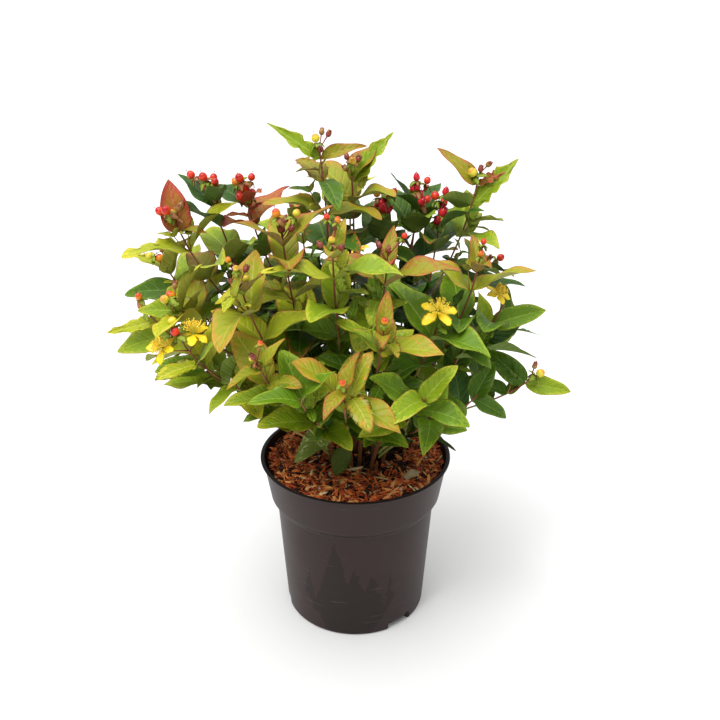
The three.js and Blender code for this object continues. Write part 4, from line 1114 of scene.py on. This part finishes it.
# Leaves that stand out against the white or close the two sides are aimed one by one. A row is
# headed by shoot, pair from the tip and side, and gives the way the leaf points, the way its upper
# face looks, its length in mm, its ratio of width to length and its tint.
AIMED = {
    (0, 0, 0): ((-0.78, 0, 0.62), (0.3, -0.8, 0.5), 56, 0.32, "B"),
    (0, 0, 1): ((0.85, -0.1, 0.42), (-0.2, -0.7, 0.7), 42, 0.34, "R"),
    (0, 1, 1): ((0.3, -0.9, 0.1), (0.1, -0.3, 1), 48, 0.46, "M"),
    (2, 0, 0): ((0.62, 0.1, 0.78), (-0.5, -0.8, 0.3), 58, 0.4, "B"),
    (4, 0, 0): ((0.88, 0, 0.45), (-0.2, -0.8, 0.5), 38, 0.3, "C"),
    (4, 0, 1): ((-0.66, 0.1, 0.76), (0.4, -0.8, 0.5), 50, 0.34, "R"),
    (4, 1, 0): ((-0.75, -0.3, 0.45), (-0.3, 0.7, 0.6), 38, 0.5, "F"),
    (4, 1, 1): ((0.66, -0.1, 0.72), (-0.4, -0.8, 0.4), 58, 0.4, "B"),
    (6, 0, 0): ((0.85, 0.1, 0.6), (-0.2, -0.8, 0.5), 46, 0.5, "D"),
    (7, 0, 0): ((0.98, 0.1, -0.05), (0, 0.3, 0.95), 38, 0.36, "M"),
    (9, 1, 1): ((0.95, 0.05, 0.34), (0, -0.8, 0.6), 54, 0.42, "F"),
    (9, 2, 1): ((0.98, 0, 0.2), (0, 0.5, 0.85), 56, 0.4, "M"),
    (10, 0, 0): ((0.97, 0, -0.1), (0.1, -0.8, 0.6), 46, 0.44, "B"),
    (10, 0, 1): ((-0.72, 0.28, 0.64), (-0.2, -0.85, 0.45), 50, 0.48, "M"),
    (10, 1, 0): ((-0.93, 0.1, 0.4), (0.1, -0.4, 0.9), 48, 0.4, "M"),
    (10, 1, 1): ((0.65, 0.3, 0.7), (-0.4, -0.8, 0.4), 28, 0.45, "F"),
    (13, 1, 1): ((0.93, -0.2, 0.25), (0, -0.5, 0.85), 46, 0.46, "F"),
    (14, 0, 0): ((0.8, 0, -0.38), (0.3, -0.8, 0.6), 47, 0.46, "M"),
    (24, 0, 0): ((-0.9, 0, 0.05), (0, -0.7, 0.7), 40, 0.5, "B"),
    (25, 1, 1): ((-0.95, 0, 0.1), (0.1, -0.7, 0.7), 50, 0.46, "F"),
    (26, 0, 0): ((-0.2, 0.1, 1), (0.2, -1, 0.2), 47, 0.58, "C"),
    (26, 0, 1): ((0.75, -0.3, 0.3), (0, -0.3, 1), 26, 0.5, "R"),
    (27, 1, 1): ((-0.98, 0, 0.12), (-0.1, -0.7, 0.7), 64, 0.36, "M"),
    (28, 0, 0): ((-0.9, 0, -0.25), (0, -0.75, 0.65), 50, 0.32, "L"),
    (28, 0, 1): ((0.5, 0.3, 0.8), (-0.4, -0.8, 0.4), 54, 0.4, "L"),
    (28, 1, 1): ((-0.92, 0, -0.18), (0, -0.75, 0.65), 60, 0.42, "B"),
}
# Three places stay bare so that the pot's rim shows, and eleven leaves have frayed margins.
DROPPED = [(20, 1, 1), (19, 2, 1), (22, 3, 0)]
FRAYED = [(0, 0, 0), (0, 1, 0), (2, 0, 0), (4, 0, 0), (4, 1, 1), (7, 0, 0), (7, 1, 1), (26, 1, 1),
          (27, 0, 0), (28, 0, 0), (28, 0, 1)]


def facing_frame(forward, facing):
    """A blade's directions from the way it points and the way its upper face looks, made square."""
    forward, facing = unit(np.array(forward, float)), np.array(facing, float)
    up = unit(facing - (facing @ forward) * forward)
    return {"forward": forward, "across": np.cross(up, forward), "up": up}


def blades(group, along, sides, widths, ruffle, thickness):
    """Closed thin blades, one for each leaf of a group, all with the same grid, and with the widths
    of the leaves' outlines, one row of them for each leaf or for all.

    A row at a share t of the length L lies at root + L t sinc(b t) forward - L t sin(b t / 2)
    sinc(b t / 2) up, b being the bend, and sways aside by a draw times L t^2. Across it the half
    width w rises by w |s| sin(fold) and by a ripple w s^2 ruffle sin(9 t + phase), and each face
    stands off by half the thickness times sqrt(1 - s^2). Each row is a ring: the upper face from the
    side s = 1 to s = -1, then the lower face back. A frayed leaf's margin is drawn in by a draw at
    each row.
    Returns points, faces, the (s, t) map of the points, and whether each face is an upper one."""
    def gathered(name):
        """One measure of every leaf, as an array."""
        return np.array([leaf[name] for leaf in group])

    count = len(group)
    forward, across, up = (gathered(name)[:, None, None] for name in ("forward", "across", "up"))
    length, bend, fold = (gathered(name)[:, None] for name in ("length", "bend", "fold"))
    upper = np.concatenate([np.ones(len(sides)), -np.ones(len(sides) - 2)])
    loose = (np.abs(sides) < 0.9) & (np.abs(sides) > 0.1)
    upper_side = sides + loose * rng.normal(0, FOLD_JITTER, (count, len(along), len(sides)))
    side = np.concatenate([upper_side, upper_side[:, :, -2:0:-1]], axis=2)
    turn = bend * along[None]
    reach = (length * along * np.sinc(turn / np.pi))[:, :, None, None]
    drop = (length * along * np.sin(turn / 2) * np.sinc(turn / 2 / np.pi))[:, :, None, None]
    normal = up * np.cos(turn)[:, :, None, None] + forward * np.sin(turn)[:, :, None, None]
    half = (length * gathered("ratio")[:, None] / 2 * widths)[:, :, None]
    frayed = np.array([leaf.get("fray", 0) for leaf in group])[:, None, None]
    bitten = rng.uniform(0, 1, (count, len(along), 1)) * (np.abs(side) > FRAY_FROM)
    half = half * (1 - frayed * bitten)
    phase = rng.uniform(0, 2 * np.pi, (count, 1, 1))
    ripple = side ** 2 * ruffle * np.sin(9 * along[None, :, None] + phase + 2 * np.sign(side))
    rise = half * (np.abs(side) * np.sin(fold)[:, :, None] + ripple)
    rise = rise + upper * thickness / 2 * np.sqrt(np.clip(1 - side ** 2, 0, 1))
    spread = half * side * np.cos(fold)[:, :, None]
    sway = rng.normal(0, BLADE_SWAY, (count, 1, 1)) * (along ** 2)[None, :, None] * length[:, :, None]
    points = gathered("root")[:, None, None] + forward * reach - up * drop
    points = points + across * (spread + sway)[..., None] + normal * rise[..., None]
    rows, ring = len(along), points.shape[2]
    template = drawn_together(grid_faces(rows, ring, closed=True), rows, ring)
    faces = template[None] + rows * ring * np.arange(count)[:, None, None]
    chart = np.stack([side, np.broadcast_to(along[None, :, None], side.shape)], axis=3)
    top = (template % ring).max(axis=1) < len(sides)
    return points.reshape(-1, 3), faces.reshape(-1, 3), chart.reshape(-1, 2), np.tile(top, count)


def leaf_skin(name, base, roughness, veins):
    """Leaf skin: satin, with side veins that run forward from the midrib at a slant, pressed in as
    max(sin(44 (t - 0.22 |s|)), 0)^3, and a pebbling between them that is drawn 2.4 mm across, which
    is coarser than it is, so that it shows. veins is the depth of the relief in mm."""
    material, tree, shader = start_material(name, base, roughness)
    shader.inputs["Specular IOR Level"].default_value = 0.24
    chart = add_node(tree, "ShaderNodeSeparateXYZ",
                     links={0: add_node(tree, "ShaderNodeTexCoord").outputs["UV"]})
    outward = calc(tree, "ABSOLUTE", chart.outputs["X"])
    slant = calc(tree, "MULTIPLY_ADD", outward, VEIN_SLANT, chart.outputs["Y"])
    ridge = calc(tree, "SINE", calc(tree, "MULTIPLY", slant, VEIN_WAVES))
    sharp = calc(tree, "POWER", calc(tree, "MAXIMUM", ridge, 0.0), 3.0)
    bump = add_node(tree, "ShaderNodeBump", {"Strength": 0.8, "Distance": veins * MM},
                    {"Height": sharp}, invert=True)
    place = add_node(tree, "ShaderNodeTexCoord").outputs["Object"]
    pebbling = add_node(tree, "ShaderNodeTexNoise", {"Scale": 420.0, "Detail": 3.0}, {"Vector": place})
    fine = add_node(tree, "ShaderNodeBump", {"Strength": 0.7, "Distance": 0.5 * veins * MM},
                    {"Height": pebbling.outputs["Fac"], "Normal": bump.outputs[0]})
    tree.links.new(fine.outputs[0], shader.inputs["Normal"])
    return material


def between_colors(first, second):
    """The hex colour halfway between two."""
    pairs = [(int(first[i:i + 2], 16), int(second[i:i + 2], 16)) for i in (1, 3, 5)]
    return "#" + "".join(f"{round((a + b) / 2):02x}" for a, b in pairs)


leaf_materials = []
for letter, (middle, edge, rib, under, _, _) in LEAF_TINTS.items():
    flank, margin = between_colors(middle, edge), MARGIN_COLORS.get(letter, edge)
    zone_colors = zip(LEAF_ZONES.items(), (middle, flank, edge, rib, under, margin))
    for (zone, rough), base in zone_colors:
        leaf_materials.append(leaf_skin(f"leaf {letter} {zone}", base, rough, VEIN_DEPTH))


def leaf_slots(group, faces, chart, top, points_each):
    """Each face's material: its leaf's own tint or else its spray's, at times that of the next pair
    down, and its zone on the leaf, numbered as in LEAF_ZONES.

    0.75 |s|^3 + 0.8 t^3 plus a mottling draw, less what the tint's reach leaves of 1, is over one
    limit for the edge and over a lower one for the flank."""
    letters = list(LEAF_TINTS)
    tints = []
    for leaf in group:
        spray = SPRAYS_WITH_PAINTED_LIGHT[leaf["shoot"]]
        place = min(int(leaf["node"]) + (rng.uniform() < DARKER_CHANCE), len(spray) - 1)
        tints.append(letters.index(leaf.get("tint", spray[place])))
    tint = np.array(tints)[faces[:, 0] // points_each]
    extent, mottle = np.array([row[4:] for row in LEAF_TINTS.values()])[tint].T
    shape = chart[faces].mean(axis=1)
    side, along = np.abs(shape[:, 0]), shape[:, 1]
    shown = 0.75 * side ** 3 + 0.8 * along ** 3 + rng.normal(0, mottle) - (1 - extent)
    zone = np.select([shown > EDGE_FROM, shown > FLANK_FROM], [2, 1], 0)
    zone = np.where((side < MIDRIB_HALF) & (along < MIDRIB_END), 3, zone)
    zone = np.where((side > MARGIN_FROM) & (rng.uniform(0, 1, len(faces)) < MARGIN_SHARE), 5, zone)
    return tint * len(LEAF_ZONES) + np.where(top, zone, 4)


for leaf in leaves:
    leaf["place"] = (leaf["shoot"], leaf["node"], leaf["side"])
    leaf["root"] = leaf["seat"]
    leaf["ratio"] *= LEAF_WIDER
    leaf["fold"] += MORE_FOLD
    if leaf["place"] in AIMED:
        forward, facing, leaf["length"], leaf["ratio"], leaf["tint"] = AIMED[leaf["place"]]
        leaf.update(facing_frame(forward, facing))
    leaf["bend"] += math.radians(FRONT_BEND.get(leaf["node"], 0)) * max(-leaf["forward"][1], 0)
    if leaf["node"] == 0 and leaf["shoot"] in YOUNG_TIPS:
        leaf["length"] *= YOUNG_SHARE
        leaf["ratio"] *= YOUNG_NARROWER
    leaf["length"] *= FRONT_SHARE if leaf["shoot"] in FRONT_SHOOTS else 1
    leaf["fray"] = FRAY_DEPTH if leaf["place"] in FRAYED else 0
kept = sorted((leaf for leaf in leaves if leaf["place"] not in DROPPED),
              key=lambda leaf: leaf["root"][2])
third = math.ceil(len(kept) / 3)
large, small = (LEAF_ALONG, LEAF_SIDES), (SMALL_ALONG, SMALL_SIDES)
for name, group, (along, sides) in (("lower_leaves", kept[:third], large),
                                    ("middle_leaves", kept[third:2 * third], large),
                                    ("upper_leaves", kept[2 * third:], large),
                                    ("sprig_leaves", sprig_leaves, small)):
    at_tip = np.array([[leaf["node"] == 0] for leaf in group])
    tip_power = rng.uniform(*LIVING_TIP_POWERS, (len(group), 1)) + TIP_SHARPER * at_tip
    widths = leaf_outline(along, LIVING_ROOT_POWER, tip_power)
    points, faces, chart, top = blades(group, along, sides, widths, LEAF_RUFFLE, BLADE_THICKNESS)
    slots = leaf_slots(group, faces, chart, top, len(points) // len(group))
    foliage = make_piece(name, points, faces, leaf_materials, slots, chart)
    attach(foliage, "root")

# A few old leaves hang low among the canes and one dry leaf lies on the mulch: a large grey-green
# one with pale specks, a dark round one, and a thin one that points to the right. Each gives its
# root, its tip, the way its upper face looks, a ratio of width to length, a bend and its kind.
OLD_LEAVES = [
    ((-21, -40, 226), (-57, -64, 197), (-0.3, -0.8, 0.5), 0.44, 18, "specked"),
    ((-11, -46, 203), (-17, -57, 177), (0.05, -0.95, 0.3), 0.66, 8, "round"),
    ((64, -18, 208), (98, -34, 194), (0.1, -0.3, 0.95), 0.2, 12, "round"),
    ((47, -46, 169), (66, -34, 174), (-0.3, -0.6, 0.8), 0.4, 40, "dry"),
]
OLD_LEAF_COLORS = {"specked": ("#62702a", "#949e68"), "round": ("#3c4a0c", "#4a4e18"),
                   "dry": ("#b9a582", "#8e7a58")}
SPECK_SHARE = 0.12
OLD_FOLD = 0.2
OLD_RUFFLE = 0.3
OLD_THICKNESS = 0.4
old_leaves = []
for root, tip, up, ratio, bend, kind in OLD_LEAVES:
    root, tip = np.array(root, float), np.array(tip, float)
    old_leaves.append({"root": root, **facing_frame(tip - root, up), "ratio": ratio, "fold": OLD_FOLD,
                       "length": np.linalg.norm(tip - root), "bend": math.radians(bend),
                       "kind": list(OLD_LEAF_COLORS).index(kind)})
points, faces, chart, _ = blades(old_leaves, LEAF_ALONG, LEAF_SIDES, leaf_outline(LEAF_ALONG),
                                 OLD_RUFFLE, OLD_THICKNESS)
old_skins = [leaf_skin(f"old leaf {kind} {part}", base, 0.65, 0.3)
             for kind, pair in OLD_LEAF_COLORS.items() for part, base in zip(("skin", "flecks"), pair)]
kind = np.repeat([leaf["kind"] for leaf in old_leaves], len(faces) // len(old_leaves))
slots = kind * 2 + (rng.uniform(0, 1, len(faces)) < SPECK_SHARE)
old_piece = make_piece("old_leaves", points, faces, old_skins, slots, chart)
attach(old_piece, "root")

# The fruit: glossy berries on wine-red stalks that branch at each shoot's tip, round and scarlet on
# the left, pointed and crimson on the right, orange and yellow on the rest, with brown and wine-red
# buds among them.
BERRY_WIDTH = 7.6
RIPE_SWELL = 1.12
# Each kind gives its skin, its tip, its shares of a berry's width and length, and how pointed it is.
FRUIT_KINDS = {
    "scarlet": ("#dc3a1e", "#b3241c", 1.02, 0.86, 0.06), "crimson": ("#dc2836", "#b01c2a", 0.96, 1.0, 0.26),
    "orange": ("#e0861e", "#cf4f20", 1.0, 0.84, 0.06), "yellow": ("#dccb3c", "#d89c34", 0.96, 0.8, 0.06),
    "brown bud": ("#97713a", "#7c4030", 0.9, 1.0, 0.3), "wine bud": ("#8a4038", "#6a2a2a", 0.88, 1.0, 0.3),
}
# The first letters of the kinds at each shoot's tip, those of the solids' own heads first.
CLUSTERS = [
    "ywwbwwb", "wwwyowb", "wbwyw", "sssos", "wyb", "ccscsc", "", "wb", "oswb", "w", "yb", "", "wb", "", "",
    "wws", "o", "", "ywwosw", "o", "", "oyywyow", "wyo", "", "oyb", "sy", "ybsbs", "oby", "yo", "sssssso",
    "sossss", "ooyb", "", "ccccosc", "cccsccs", "sosb", "", "osoyb", "wb", "", "csco", "w", "ob", "",
]
STALK_RADIUS = 0.5
HEAD_GAP = 0.8
HEAD_TRIES = 5
HEAD_SPREADS = (8, 54)
HEAD_SIZES = (0.76, 0.94)
HEAD_LIFT = 0.3
YOUNG_BERRY = 0.66
# The shortest and the longest stalk in mm, by a kind's first letter and for the other kinds, and
# how far its foot stands short of the shoot's tip or beyond it.
STALK_REACH = {"w": (9, 17), "b": (9, 17), "c": (15, 29)}
OTHER_REACH = (13, 25)
STALK_FEET = (-2, 6)
# How far each flower stands from its place in the solids, in mm, and its share of full size.
FLOWER_PLACES = [((-9, 0, -1), 0.76), ((-3, 0, -7), 1.0), ((-16, 0, -4), 0.84), ((3, 0, 6), 1.0),
                 ((0, 0, 0), 1.0)]


def glossy(name, base, roughness):
    """Smooth fruit or petal skin, with no relief but a faint unevenness 2.5 mm across."""
    return grained_material(name, base, roughness, scale=400.0, detail=2.0, strength=0.15, depth=0.0005)


def across_of(direction):
    """Two directions square to each of some directions and to each other."""
    reference = np.where(np.abs(direction[:, 2:]) < 0.9, [[0.0, 0.0, 1.0]], [[1.0, 0.0, 0.0]])
    first = unit(np.cross(reference, direction))
    return first, np.cross(direction, first)


def ovals(centers, direction, length, width, rows, sectors, point):
    """Closed egg shapes along a direction: radius width/2 sin(a) (1 + point cos(a)) at the height
    -length/2 cos(a), for a from 0 to pi, so a point over 0 narrows the far end. Also gives each
    face's row."""
    angle = np.linspace(0, np.pi, rows)
    turn = np.arange(sectors) * 2 * np.pi / sectors
    first, second = across_of(direction)
    radius = width[:, None] / 2 * np.sin(angle) * (1 + point[:, None] * np.cos(angle))
    height = -length[:, None] / 2 * np.cos(angle)
    ring = first[:, None] * np.cos(turn)[None, :, None] + second[:, None] * np.sin(turn)[None, :, None]
    points = (centers[:, None, None] + direction[:, None, None] * height[..., None, None]
              + ring[:, None] * radius[..., None, None])
    template = drawn_together(grid_faces(rows, sectors, closed=True), rows, sectors)
    faces = template[None] + rows * sectors * np.arange(len(centers))[:, None, None]
    row = np.tile(template.min(axis=1) // sectors, len(centers))
    return points.reshape(-1, 3), faces.reshape(-1, 3), row


fruit = [head for head in heads if head["kind"] != "flower"]
kinds = {name[0]: name for name in FRUIT_KINDS}
for shoot in shoots:
    tangent = heading_on(shoot["curve"], 1.0)
    outward, sideways = stem_frame(tangent, shoot["azimuth"])
    letters = list(CLUSTERS[shoot["index"]])
    for head in fruit:
        if head["shoot"] == shoot["index"]:
            head["ripeness"] = kinds[letters.pop(0)]
    for _ in range(len(letters) * HEAD_TRIES):
        turn, spread = rng.uniform(0, 2 * np.pi), math.radians(rng.uniform(*HEAD_SPREADS))
        direction = unit(swung(tangent, swung(outward, sideways, turn), spread) + UP * HEAD_LIFT)
        size = rng.uniform(*HEAD_SIZES)
        foot = shoot["curve"][3] + tangent * rng.uniform(*STALK_FEET)
        stalk = rng.uniform(*STALK_REACH.get("".join(letters[:1]), OTHER_REACH))
        center = foot + direction * stalk
        room = min(np.linalg.norm(center - other["center"]) - BERRY_LENGTH / 2 * (size + other["size"])
                   for other in heads + fruit)
        if letters and room > HEAD_GAP:
            fruit.append({"kind": shoot["ending"], "foot": foot, "direction": direction, "stalk": stalk,
                          "size": size, "center": center, "shoot": shoot["index"],
                          "ripeness": kinds[letters.pop(0)]})
for head in fruit:
    ripe = "bud" not in head["ripeness"]
    head["size"] = head["size"] * RIPE_SWELL if ripe else min(head["size"], BUD_SHARE)
    head["size"] *= YOUNG_BERRY if ripe and head["shoot"] in YOUNG_TIPS else 1

flowers = [head for head in heads if head["kind"] == "flower"]
for head, (shift, share) in zip(flowers, FLOWER_PLACES):
    head["center"], head["share"] = head["center"] + shift, share

names = list(FRUIT_KINDS)
centers, directions = (np.array([head[key] for head in fruit]) for key in ("center", "direction"))
sizes = np.array([head["size"] for head in fruit])
tone = np.array([names.index(head["ripeness"]) for head in fruit])
wide, long, pointed = np.array([FRUIT_KINDS[head["ripeness"]][2:] for head in fruit]).T
BERRY_ROWS = 10
BERRY_SECTORS = 14
TIP_ROWS = 4
points, faces, row = ovals(centers, directions, BERRY_LENGTH * sizes * long,
                           BERRY_WIDTH * sizes * wide, BERRY_ROWS, BERRY_SECTORS, pointed)
skin = [glossy(f"{name} {part}", base, 0.2) for name, row_of in FRUIT_KINDS.items()
        for part, base in zip(("skin", "tip"), row_of)]
each = len(faces) // len(fruit)
berries = make_piece("berries_and_buds", points, faces, skin,
                     np.repeat(tone, each) * 2 + (row >= BERRY_ROWS - TIP_ROWS))
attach(berries, "root")

# The stalks: thin, wine-red and a little bowed, from the shoot's tip into the foot of each berry,
# bud and flower. A ripe berry still carries three dried styles, dark threads that flare at its tip.
STYLE_LENGTH = 1.8
STYLE_TURNS = [20, 140, 260]
STYLE_RADII = [0.16, 0.12, 0.09]


def along_head(head, share):
    """The point on a head's axis at a share of its half length beyond its middle."""
    return head["center"] + head["direction"] * BERRY_LENGTH / 2 * head["size"] * share


paths, radii = [], []
for head in fruit + flowers:
    base = along_head(head, -0.9)
    middle = (head["foot"] + base) / 2 + UP * rng.uniform(-0.9, 0.3)
    paths.append([head["foot"], middle, base])
    radii.append([STALK_RADIUS * 1.1, STALK_RADIUS, STALK_RADIUS * 1.3])
stalks = tubes(paths, radii, 6)
paths, radii = [], []
for head, side, other in zip(fruit, *across_of(directions)):
    if "bud" not in head["ripeness"]:
        top, axis = along_head(head, 0.96), head["direction"] * STYLE_LENGTH
        for turn in np.radians(STYLE_TURNS):
            flare = swung(side, other, turn)
            paths.append([top, top + axis * 0.6 + flare * 0.3, top + axis + flare * 0.9])
            radii.append(STYLE_RADII)
points, faces, counts = joined([stalks, tubes(paths, radii, 4)])
stalk_skin = stem_material("wine red stalk skin", "#86382c", 0.5, 0.8)
style_skin = stem_material("dried style", "#5a2c1c", 0.7, 0.5)
stalk_piece = make_piece("fruit_stalks", points, faces, [stalk_skin, style_skin],
                         np.repeat([0, 1], counts))
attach(stalk_piece, "root")

# The sepals: five small leafy ones in a star under each berry or bud. They close round a bud,
# flushed or brown, and spread and bend back under a berry, green or flushed.
SEPAL_LENGTH = 10
SEPAL_RATIO = 0.6
SEPAL_LENGTHS = (0.8, 1.15)
BUD_SEPAL_ANGLE = 40
BERRY_SEPAL_ANGLE = 108
sepals = []
for head, side, other in zip(fruit, *across_of(directions)):
    bud = "bud" in head["ripeness"]
    for i in range(5):
        outer = swung(side, other, math.radians(72 * i + 30 * head["shoot"]))
        angle = math.radians(BUD_SEPAL_ANGLE if bud else BERRY_SEPAL_ANGLE + rng.normal(0, 12))
        forward = swung(head["direction"], outer, angle)
        facing = -outer if bud else head["direction"]
        sepals.append({"root": along_head(head, -0.94), **facing_frame(forward, facing),
                       "length": SEPAL_LENGTH * head["size"] * rng.uniform(*SEPAL_LENGTHS),
                       "ratio": SEPAL_RATIO, "bend": math.radians(-50 if bud else 40), "fold": 0.2})
SEPAL_ALONG = np.array([0, 0.2, 0.5, 0.8, 1])
SEPAL_SIDES = np.array([1, 0, -1])
points, faces, chart, _ = blades(sepals, SEPAL_ALONG, SEPAL_SIDES, leaf_outline(SEPAL_ALONG), 0.1, 0.3)
sepal_skins = [leaf_skin(f"{name} sepal", base, 0.5, 0.05) for name, base in
               (("green", "#8a9c34"), ("flushed", "#a8744a"), ("brown", "#8a4a36"))]
is_bud = np.repeat(["bud" in head["ripeness"] for head in fruit], 5)
shade = np.where(is_bud, rng.choice([1, 2], len(sepals)), rng.choice([0, 0, 0, 1], len(sepals)))
sepal_piece = make_piece("sepals", points, faces, sepal_skins,
                         np.repeat(shade, len(faces) // len(sepals)), chart)
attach(sepal_piece, "root")

# The flowers: five waxy yellow petals that bend back, a dense brush of fine yellow stamens, and the
# green ovary in the middle of them.
PETAL_LENGTH = 17
PETAL_RATIO = 0.58
PETAL_LENGTHS = (0.9, 1.08)
PETAL_ANGLE = 82
PETAL_BENDS = (10, 45)
PETAL_FOLD = 0.12
STAMEN_COUNT = 80
STAMEN_SPREADS = (6, 58)
THREAD_LENGTHS = (9, 13)
THREAD_RADII = [0.24, 0.2, 0.16]
ANTHER_LENGTH, ANTHER_WIDTH = 1.7, 1.3
OVARY_LENGTH, OVARY_WIDTH = 6, 3.6


def petal_outline(along):
    """Petal width by length: sin(pi t^1.25)^0.75, narrow at the foot and widest past the middle."""
    return np.sin(np.pi * np.clip(along, 0, 1) ** 1.25) ** 0.75


petals, filaments, anthers = [], [], []
flower_directions = unit(np.array([head["direction"] for head in flowers]) + [0, -0.5, 0.35])
for head, direction, side, other in zip(flowers, flower_directions, *across_of(flower_directions)):
    for i in range(5):
        turn = math.radians(72 * i + 20 * head["shoot"] + rng.normal(0, 6))
        angle = math.radians(PETAL_ANGLE + rng.normal(0, 9))
        forward = swung(direction, swung(side, other, turn), angle)
        petals.append({"root": head["center"] - direction * 2, **facing_frame(forward, direction),
                       "length": PETAL_LENGTH * head["share"] * rng.uniform(*PETAL_LENGTHS),
                       "ratio": PETAL_RATIO, "bend": math.radians(rng.uniform(*PETAL_BENDS)),
                       "fold": PETAL_FOLD})
    for _ in range(STAMEN_COUNT):
        turn, spread = rng.uniform(0, 2 * np.pi), math.radians(rng.uniform(*STAMEN_SPREADS))
        root = head["center"] - direction * 1.5
        thread = swung(direction, swung(side, other, turn), spread) * rng.uniform(*THREAD_LENGTHS)
        end = root + thread * head["share"]
        filaments.append([root, (root + end) / 2 + direction * 0.8, end])
        anthers.append(end)
petal_skins = [glossy("yellow petal", "#f8d822", 0.4), glossy("petal underside", "#e6be20", 0.5)]
PETAL_ALONG = np.array([0, 0.08, 0.22, 0.4, 0.58, 0.75, 0.9, 1])
PETAL_SIDES = np.array([1, 0.5, 0, -0.5, -1])
points, faces, chart, top = blades(petals, PETAL_ALONG, PETAL_SIDES, petal_outline(PETAL_ALONG), 0.25,
                                   0.4)
petal_piece = make_piece("petals", points, faces, petal_skins, 1 - top, chart)
filament_mesh = tubes(filaments, np.repeat([THREAD_RADII], len(filaments), axis=0), 3)
anthers, flower_centers = np.array(anthers), np.array([head["center"] for head in flowers])
anther_count, flower_count = np.ones(len(anthers)), np.ones(len(flowers))
anther_mesh = ovals(anthers, np.repeat(flower_directions, STAMEN_COUNT, axis=0),
                    ANTHER_LENGTH * anther_count, ANTHER_WIDTH * anther_count, 4, 5, 0 * anther_count)
ovary_mesh = ovals(flower_centers, flower_directions, OVARY_LENGTH * flower_count,
                   OVARY_WIDTH * flower_count, 7, 10, 0.1 * flower_count)
points, faces, counts = joined([filament_mesh, anther_mesh[:2], ovary_mesh[:2]])
brush = make_piece("stamens", points, faces,
                   [glossy("stamen thread", "#f6e450", 0.5), glossy("anther", "#f4d040", 0.6),
                    glossy("ovary", "#a3a83c", 0.45)], np.repeat([0, 1, 2], counts))
for piece in (petal_piece, brush):
    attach(piece, "root")

# The photograph's place: a plain white floor that runs out of sight, soft light from above, from
# the front left and from behind, and a camera above the crown that looks down at the plant.
FLOOR_HALF = 90.0
SKY_STRENGTH = 0.46
AIM = Vector((0.0, 0.0, 0.2725))
CAMERA_PLACE = (0.0, -0.7343, 0.5958)
CAMERA_LENS = 41.855
CAMERA_SHIFT = 0.0065
# Suns whose width in degrees makes their shadows soft: each one's name, a place that it shines from
# towards the aim, its width and its strength. The narrow one gives the small glints.
LIGHTS = [("left_front_key", (-0.54, -0.52, 1.66), 46, 1.6), ("overhead_sky", (-0.1, -0.1, 1.6), 90, 2.3),
          ("left_window", (-0.5, -0.7, 1.5), 9, 0.5), ("back_top_sky", (0.1, 0.6, 1.5), 70, 0.5)]
white, _, _ = start_material("white studio floor", "#dcdcdc", 0.9)
corners = np.array([(-1, -1, 0), (1, -1, 0), (1, 1, 0), (-1, 1, 0)]) * FLOOR_HALF / MM
floor = make_piece("studio_floor", corners, np.array([[0, 1, 2], [0, 2, 3]]), [white])
world = bpy.data.worlds.new("white room")
bpy.context.scene.world = world
world.use_nodes = True
sky = world.node_tree.nodes["Background"]
sky.inputs["Color"].default_value = (1, 1, 1, 1)
sky.inputs["Strength"].default_value = SKY_STRENGTH
for name, spot, spread, strength in LIGHTS:
    light = bpy.data.lights.new(name, "SUN")
    light.angle, light.energy = math.radians(spread), strength
    lamp = bpy.data.objects.new(name, light)
    lamp.location = spot
    lamp.rotation_euler = (AIM - Vector(spot)).to_track_quat("-Z", "Y").to_euler()
    bpy.context.scene.collection.objects.link(lamp)
view = bpy.data.cameras.new("photo_camera")
view.lens, view.shift_x = CAMERA_LENS, CAMERA_SHIFT
camera = bpy.data.objects.new("photo_camera", view)
camera.location = CAMERA_PLACE
camera.rotation_euler = (AIM - camera.location).to_track_quat("-Z", "Y").to_euler()
bpy.context.scene.collection.objects.link(camera)
bpy.context.scene.camera = camera
bpy.context.scene.view_settings.view_transform = "Standard"
